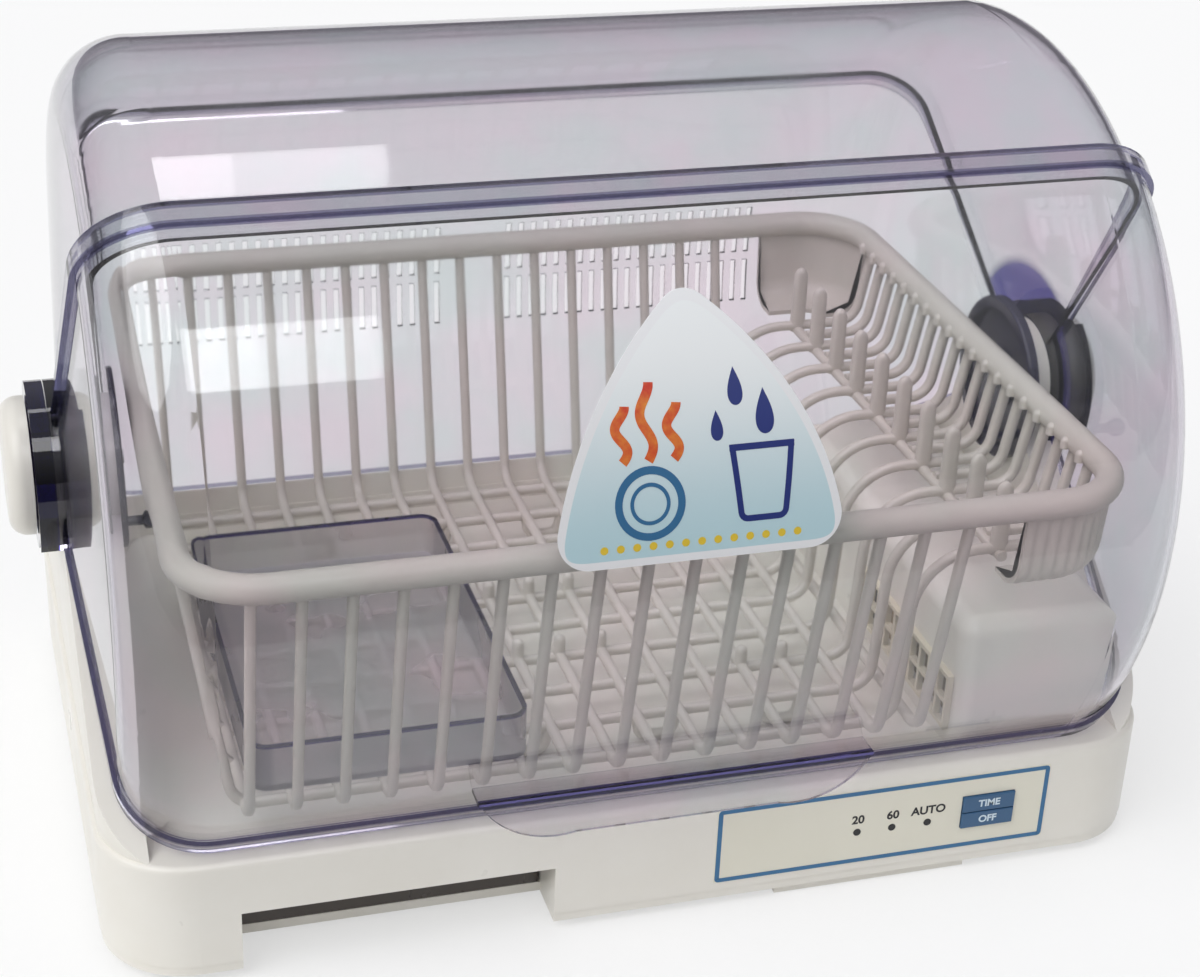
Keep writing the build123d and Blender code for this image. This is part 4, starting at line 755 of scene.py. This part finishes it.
def ribbon(path, width, loop=False):
    """Flat strip about a path: each row is the path minus and plus half a width across it, at two lifts."""
    path = np.asarray(path, float)
    direction = np.roll(path, -1, 0) - np.roll(path, 1, 0) if loop else np.gradient(path, axis=0)
    across = norm(direction)[:, ::-1] * (-1, 1) * width / 2
    rows = np.empty((len(path), 4, 3))
    rows[:, (0, 1), :2] = (path + across)[:, None]
    rows[:, (2, 3), :2] = (path - across)[:, None]
    rows[:, (0, 3), 2] = INK_LIFT
    rows[:, (1, 2), 2] = INK_LIFT + INK_THICK
    return rows


def blob(outline, rings=6):
    """Filled outline: rings grow from its middle to the outline in front and shrink again behind."""
    middle = outline.mean(0)
    share = np.linspace(0.04, 1, rings)
    front = middle + share[:, None, None] * (outline - middle)
    rows = np.empty((2 * rings, len(outline), 3))
    rows[:rings, :, :2] = front
    rows[rings:, :, :2] = front[::-1]
    rows[:rings, :, 2] = INK_LIFT + INK_THICK
    rows[rings:, :, 2] = INK_LIFT
    return rows


def lettering(name, words, size, x, z, face, material, body):
    """Plain sans letters, thickened a little, welded and stood upright on a front face."""
    curve = bpy.data.curves.new(name, "FONT")
    curve.body = words
    curve.size = size
    curve.align_x = "CENTER"
    curve.align_y = "CENTER"
    curve.extrude = LETTER_HALF_THICK
    curve.offset = LETTER_BOLDNESS * size
    holder = bpy.data.objects.new(name + "_curve", curve)
    bpy.context.scene.collection.objects.link(holder)
    bpy.context.view_layer.update()
    mesh = bpy.data.meshes.new_from_object(holder.evaluated_get(bpy.context.evaluated_depsgraph_get()))
    bpy.data.objects.remove(holder)
    welded = bmesh.new()
    welded.from_mesh(mesh)
    bmesh.ops.remove_doubles(welded, verts=welded.verts, dist=0.001 * MM)
    welded.to_mesh(mesh)
    welded.free()
    flat = np.empty(len(mesh.vertices) * 3)
    mesh.vertices.foreach_get("co", flat)
    flat = flat.reshape(-1, 3)
    stood = np.stack([flat[:, 0] + x, face - INK_LIFT - flat[:, 2], flat[:, 1] + z], -1)
    mesh.vertices.foreach_set("co", stood.ravel())
    mesh.update()
    return place(name, mesh, material, body)


panel_middle = (PANEL_LOW + PANEL_HIGH)[[0, 2]] / 2
panel_half = (PANEL_HIGH - PANEL_LOW)[[0, 2]] / 2
panel_border = rounded_rectangle(*(panel_half - FRAME_INSET), FRAME_CORNER, 4) + panel_middle
panel_frame = on_panel(ribbon(panel_border, FRAME_LINE, loop=True))
piece("panel_frame", [skin(panel_frame, loop=True)], BLUE_INK, "base")
for words, x in zip(("20", "60", "AUTO"), LAMP_XS):
    name = "panel_figure_" + words.lower()
    lettering(name, words, FIGURE_SIZE, x, LAMP_Z + FIGURE_RISE, PANEL_FACE, BLACK_INK, "base")
for words in ("TIME", "OFF"):
    button = words.lower() + "_button"
    low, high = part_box(button)
    middle = (low + high) / 2
    lettering(button + "_word", words, WORD_SIZE, middle.x, middle.z, low.y, PALE_INK, button)


def label_waves():
    """Three rising strips of warm air: x is a sine of the height."""
    foot, sway, turns, width = 243, 2.4, 1.25, 4.0 * MM
    rise = np.linspace(0, 1, 40)
    parts = []
    for x, top in ((-33, 264), (-22, 272), (-11, 264)):
        across = x + sway * np.sin(2 * math.pi * turns * rise)
        path = np.column_stack([across, foot + (top - foot) * rise]) * MM
        parts.append(skin(on_lid(ribbon(path, width))))
    return parts


def label_drops():
    """Drops: a circle drawn in towards its top by a power of (1 - sine of its angle) / 2, and stretched."""
    taper, stretch = 0.6, 1.6
    turn = np.linspace(0, 2 * math.pi, 40, endpoint=False)
    across = np.cos(turn) * ((1 - np.sin(turn)) / 2) ** taper
    parts = []
    for x, z, size in ((17, 268, 4.4), (29, 258, 5.4), (8, 254, 3.6)):
        outline = np.column_stack([x + size * across, z + stretch * size * np.sin(turn)]) * MM
        parts.append(skin(on_lid(blob(outline))))
    return parts


def label_plate():
    """Plate seen from above: two rings about one middle."""
    middle = np.array([-22, 226]) * MM
    rings = [(13.5 * MM, 3.2 * MM), (7.8 * MM, 1.6 * MM)]
    return [
        skin(on_lid(ribbon(middle + oval(radius, radius, count=48), width, loop=True)), loop=True)
        for radius, width in rings
    ]


def label_cup():
    """Tumbler: a round-cornered outline that widens upwards, with a rim line."""
    bend, width = 3.0 * MM, 2.6 * MM
    outline = bent_line(np.array([(14, 246), (17.5, 216), (36.5, 216), (40, 246)]) * MM, [bend, bend])
    walls, _ = even_points(outline, 80)
    rim_line = np.array([(12.8, 245), (27, 245), (41.2, 245)]) * MM
    return [skin(on_lid(ribbon(line, width))) for line in (walls, rim_line)]


def label_dots():
    """Row of dots along the foot."""
    dot = oval(1.7 * MM, 1.7 * MM, count=20)
    height = 208.5 * MM
    return [skin(on_lid(blob(dot + (x * MM, height)))) for x in np.linspace(-42, 42, 13)]


piece("label_waves", label_waves(), ORANGE_INK, "front_lid")
piece("label_drops", label_drops(), NAVY_INK, "front_lid")
piece("label_plate", label_plate(), BLUE_INK, "front_lid")
piece("label_cup", label_cup(), NAVY_INK, "front_lid")
piece("label_dots", label_dots(), YELLOW_INK, "front_lid")


# Stage: pale table, soft light and the camera

ROOM_GREY = "#77757C"
ROOM_STRENGTH = 0.75
TABLE_HALF = 12.0
TABLE_GLOW = 0.55
GREY_FRONT = (-0.55, -0.57)
SUN_PLACE = (-0.9, -0.42, 1.15)
SUN_POWER = 1.7
SUN_ANGLE = math.radians(50)

# Each window: place, the point that it faces, power, width and height
WINDOWS = {
    "front_window": ((-0.133, -1.47, 1.78), (-0.133, -0.15, 0.29), 4.2, 0.45, 0.6),
    "front_window_side": ((-0.057, -1.47, 1.78), (-0.057, -0.15, 0.29), 4.0, 0.6, 0.6),
    "top_window": ((-0.145, 0.27, 2.0), (-0.145, -0.09, 0.34), 2.7, 0.38, 0.45),
    "top_window_side": ((-0.055, 0.27, 2.0), (-0.055, -0.09, 0.34), 2.7, 0.55, 0.45),
}

# Camera: place in metres, turn in degrees, and the lens in pixels of the photograph's width
CAMERA_PLACE = (-0.2958, -0.9867, 0.6660)
CAMERA_AZIMUTH = math.radians(-17.71)
CAMERA_ELEVATION = math.radians(27.88)
CAMERA_ROLL = math.radians(2.57)
PHOTO_WIDTH = 1200
PHOTO_HEIGHT = 977
LENS_PIXELS = 2344.2
CENTRE_PIXEL = (608.2, 520.0)
SENSOR_WIDTH = 36.0


def stage_table():
    """One wide table top, white to the eye; in gloss its front is as grey as the room."""
    mesh = bpy.data.meshes.new("table")
    half = TABLE_HALF
    corners = [(-half, -half, 0), (half, -half, 0), (half, half, 0), (-half, half, 0)]
    mesh.from_pydata(corners, [], [(0, 1, 2, 3)])
    material, tree, output = start_material("paper_matt_white")
    coords = add(tree, "TexCoord").outputs["Object"]
    fibre = add(tree, "TexNoise", {
        "Vector": coords, "Scale": per_metre(4.0), "Detail": 2.0,
    }).outputs["Fac"]
    tone = add(tree, "Mix", {
        MIX_SHARE: fibre, MIX_FROM: linear("#F9F9F8"), MIX_TO: linear("#F6F6F5"),
    }, data_type="RGBA").outputs[MIX_COLOUR]
    paper = add(tree, "BsdfPrincipled", {"Base Color": tone, "Roughness": 0.9}).outputs["BSDF"]
    white = add(tree, "Emission", {"Strength": 1.0}).outputs["Emission"]
    path = add(tree, "LightPath").outputs
    seen = largest(tree, [path["Is Camera Ray"], path["Is Glossy Ray"], path["Is Transmission Ray"]])
    glow = add(tree, "Math", {0: seen, 1: TABLE_GLOW}, operation="MULTIPLY").outputs[0]
    lit = add(tree, "MixShader", {0: glow, 1: paper, 2: white}).outputs["Shader"]
    direct = largest(tree, [path["Is Camera Ray"], path["Is Transmission Ray"], path["Is Shadow Ray"]])
    mirrored = add(tree, "Math", {0: 1.0, 1: direct}, operation="SUBTRACT").outputs[0]
    front = add(tree, "MapRange", {
        "Value": add(tree, "SeparateXYZ", {0: coords}).outputs["Y"],
        "From Min": GREY_FRONT[0], "From Max": GREY_FRONT[1],
    }, interpolation_type="SMOOTHSTEP").outputs["Result"]
    away = add(tree, "Math", {0: front, 1: mirrored}, operation="MULTIPLY").outputs[0]
    room = add(tree, "Emission", {
        "Color": linear(ROOM_GREY), "Strength": ROOM_STRENGTH,
    }).outputs["Emission"]
    top = add(tree, "MixShader", {0: away, 1: lit, 2: room}).outputs["Shader"]
    tree.links.new(top, output.inputs["Surface"])
    mesh.materials.append(material)
    made = bpy.data.objects.new("table", mesh)
    bpy.context.scene.collection.objects.link(made)


def aim_from(made, place_at, aim):
    """Stand an object at a point with its -Z axis towards another."""
    back = norm(np.array(place_at, float) - np.array(aim, float))
    right = norm(np.cross((0.0, 0.0, 1.0), back))
    up = np.cross(back, right)
    matrix = np.eye(4)
    matrix[:3, :3] = np.stack([right, up, back], 1)
    matrix[:3, 3] = place_at
    made.matrix_world = matrix.T.tolist()


def stage_lamp(name, kind, place_at, aim, power, **settings):
    """A lamp that looks at a point."""
    lamp = bpy.data.lights.new(name, kind)
    lamp.energy = power
    for key, value in settings.items():
        setattr(lamp, key, value)
    made = bpy.data.objects.new(name, lamp)
    bpy.context.scene.collection.objects.link(made)
    aim_from(made, place_at, aim)
    return made


def stage_window(name, place_at, aim, power, width, height):
    """A bright window that shows only as a reflection in gloss."""
    made = stage_lamp(name, "AREA", place_at, aim, power, shape="RECTANGLE", size=width, size_y=height)
    made.visible_diffuse = False


def stage_world():
    """Soft room: pale above and greyer towards the floor."""
    world = bpy.data.worlds.new("soft_room")
    bpy.context.scene.world = world
    world.use_nodes = True
    tree = world.node_tree
    tree.nodes.clear()
    coords = add(tree, "TexCoord").outputs["Generated"]
    height = add(tree, "MapRange", {
        "Value": add(tree, "SeparateXYZ", {0: coords}).outputs["Z"], "From Min": -0.1, "From Max": 0.9,
    }, interpolation_type="SMOOTHSTEP").outputs["Result"]
    tint = add(tree, "Mix", {
        MIX_SHARE: height, MIX_FROM: linear(ROOM_GREY), MIX_TO: linear("#F2F3F7"),
    }, data_type="RGBA").outputs[MIX_COLOUR]
    room = add(tree, "Background", {"Color": tint, "Strength": ROOM_STRENGTH}).outputs["Background"]
    output = add(tree, "OutputWorld")
    tree.links.new(room, output.inputs["Surface"])


def stage_camera():
    """Camera of the photograph's view: its place, turn and lens were fitted to points on the object."""
    level = math.cos(CAMERA_ELEVATION)
    back = np.array([
        math.sin(CAMERA_AZIMUTH) * level, -math.cos(CAMERA_AZIMUTH) * level, math.sin(CAMERA_ELEVATION),
    ])
    right = np.array([math.cos(CAMERA_AZIMUTH), math.sin(CAMERA_AZIMUTH), 0.0])
    up = np.cross(back, right)
    matrix = np.eye(4)
    matrix[:3, 0] = math.cos(CAMERA_ROLL) * right + math.sin(CAMERA_ROLL) * up
    matrix[:3, 1] = math.cos(CAMERA_ROLL) * up - math.sin(CAMERA_ROLL) * right
    matrix[:3, 2] = back
    matrix[:3, 3] = CAMERA_PLACE
    lens = bpy.data.cameras.new("camera")
    lens.sensor_fit = "HORIZONTAL"
    lens.sensor_width = SENSOR_WIDTH
    lens.lens = LENS_PIXELS / PHOTO_WIDTH * SENSOR_WIDTH
    lens.shift_x = (PHOTO_WIDTH / 2 - CENTRE_PIXEL[0]) / PHOTO_WIDTH
    lens.shift_y = (CENTRE_PIXEL[1] - PHOTO_HEIGHT / 2) / PHOTO_WIDTH
    lens.clip_end = 60.0
    made = bpy.data.objects.new("camera", lens)
    bpy.context.scene.collection.objects.link(made)
    made.matrix_world = matrix.T.tolist()
    bpy.context.scene.camera = made


stage_table()
stage_world()
stage_camera()
stage_lamp("soft_sun", "SUN", SUN_PLACE, (0, 0, 0), SUN_POWER, angle=SUN_ANGLE)
for window_name, window in WINDOWS.items():
    stage_window(window_name, *window)
bpy.context.scene.view_settings.view_transform = "Standard"
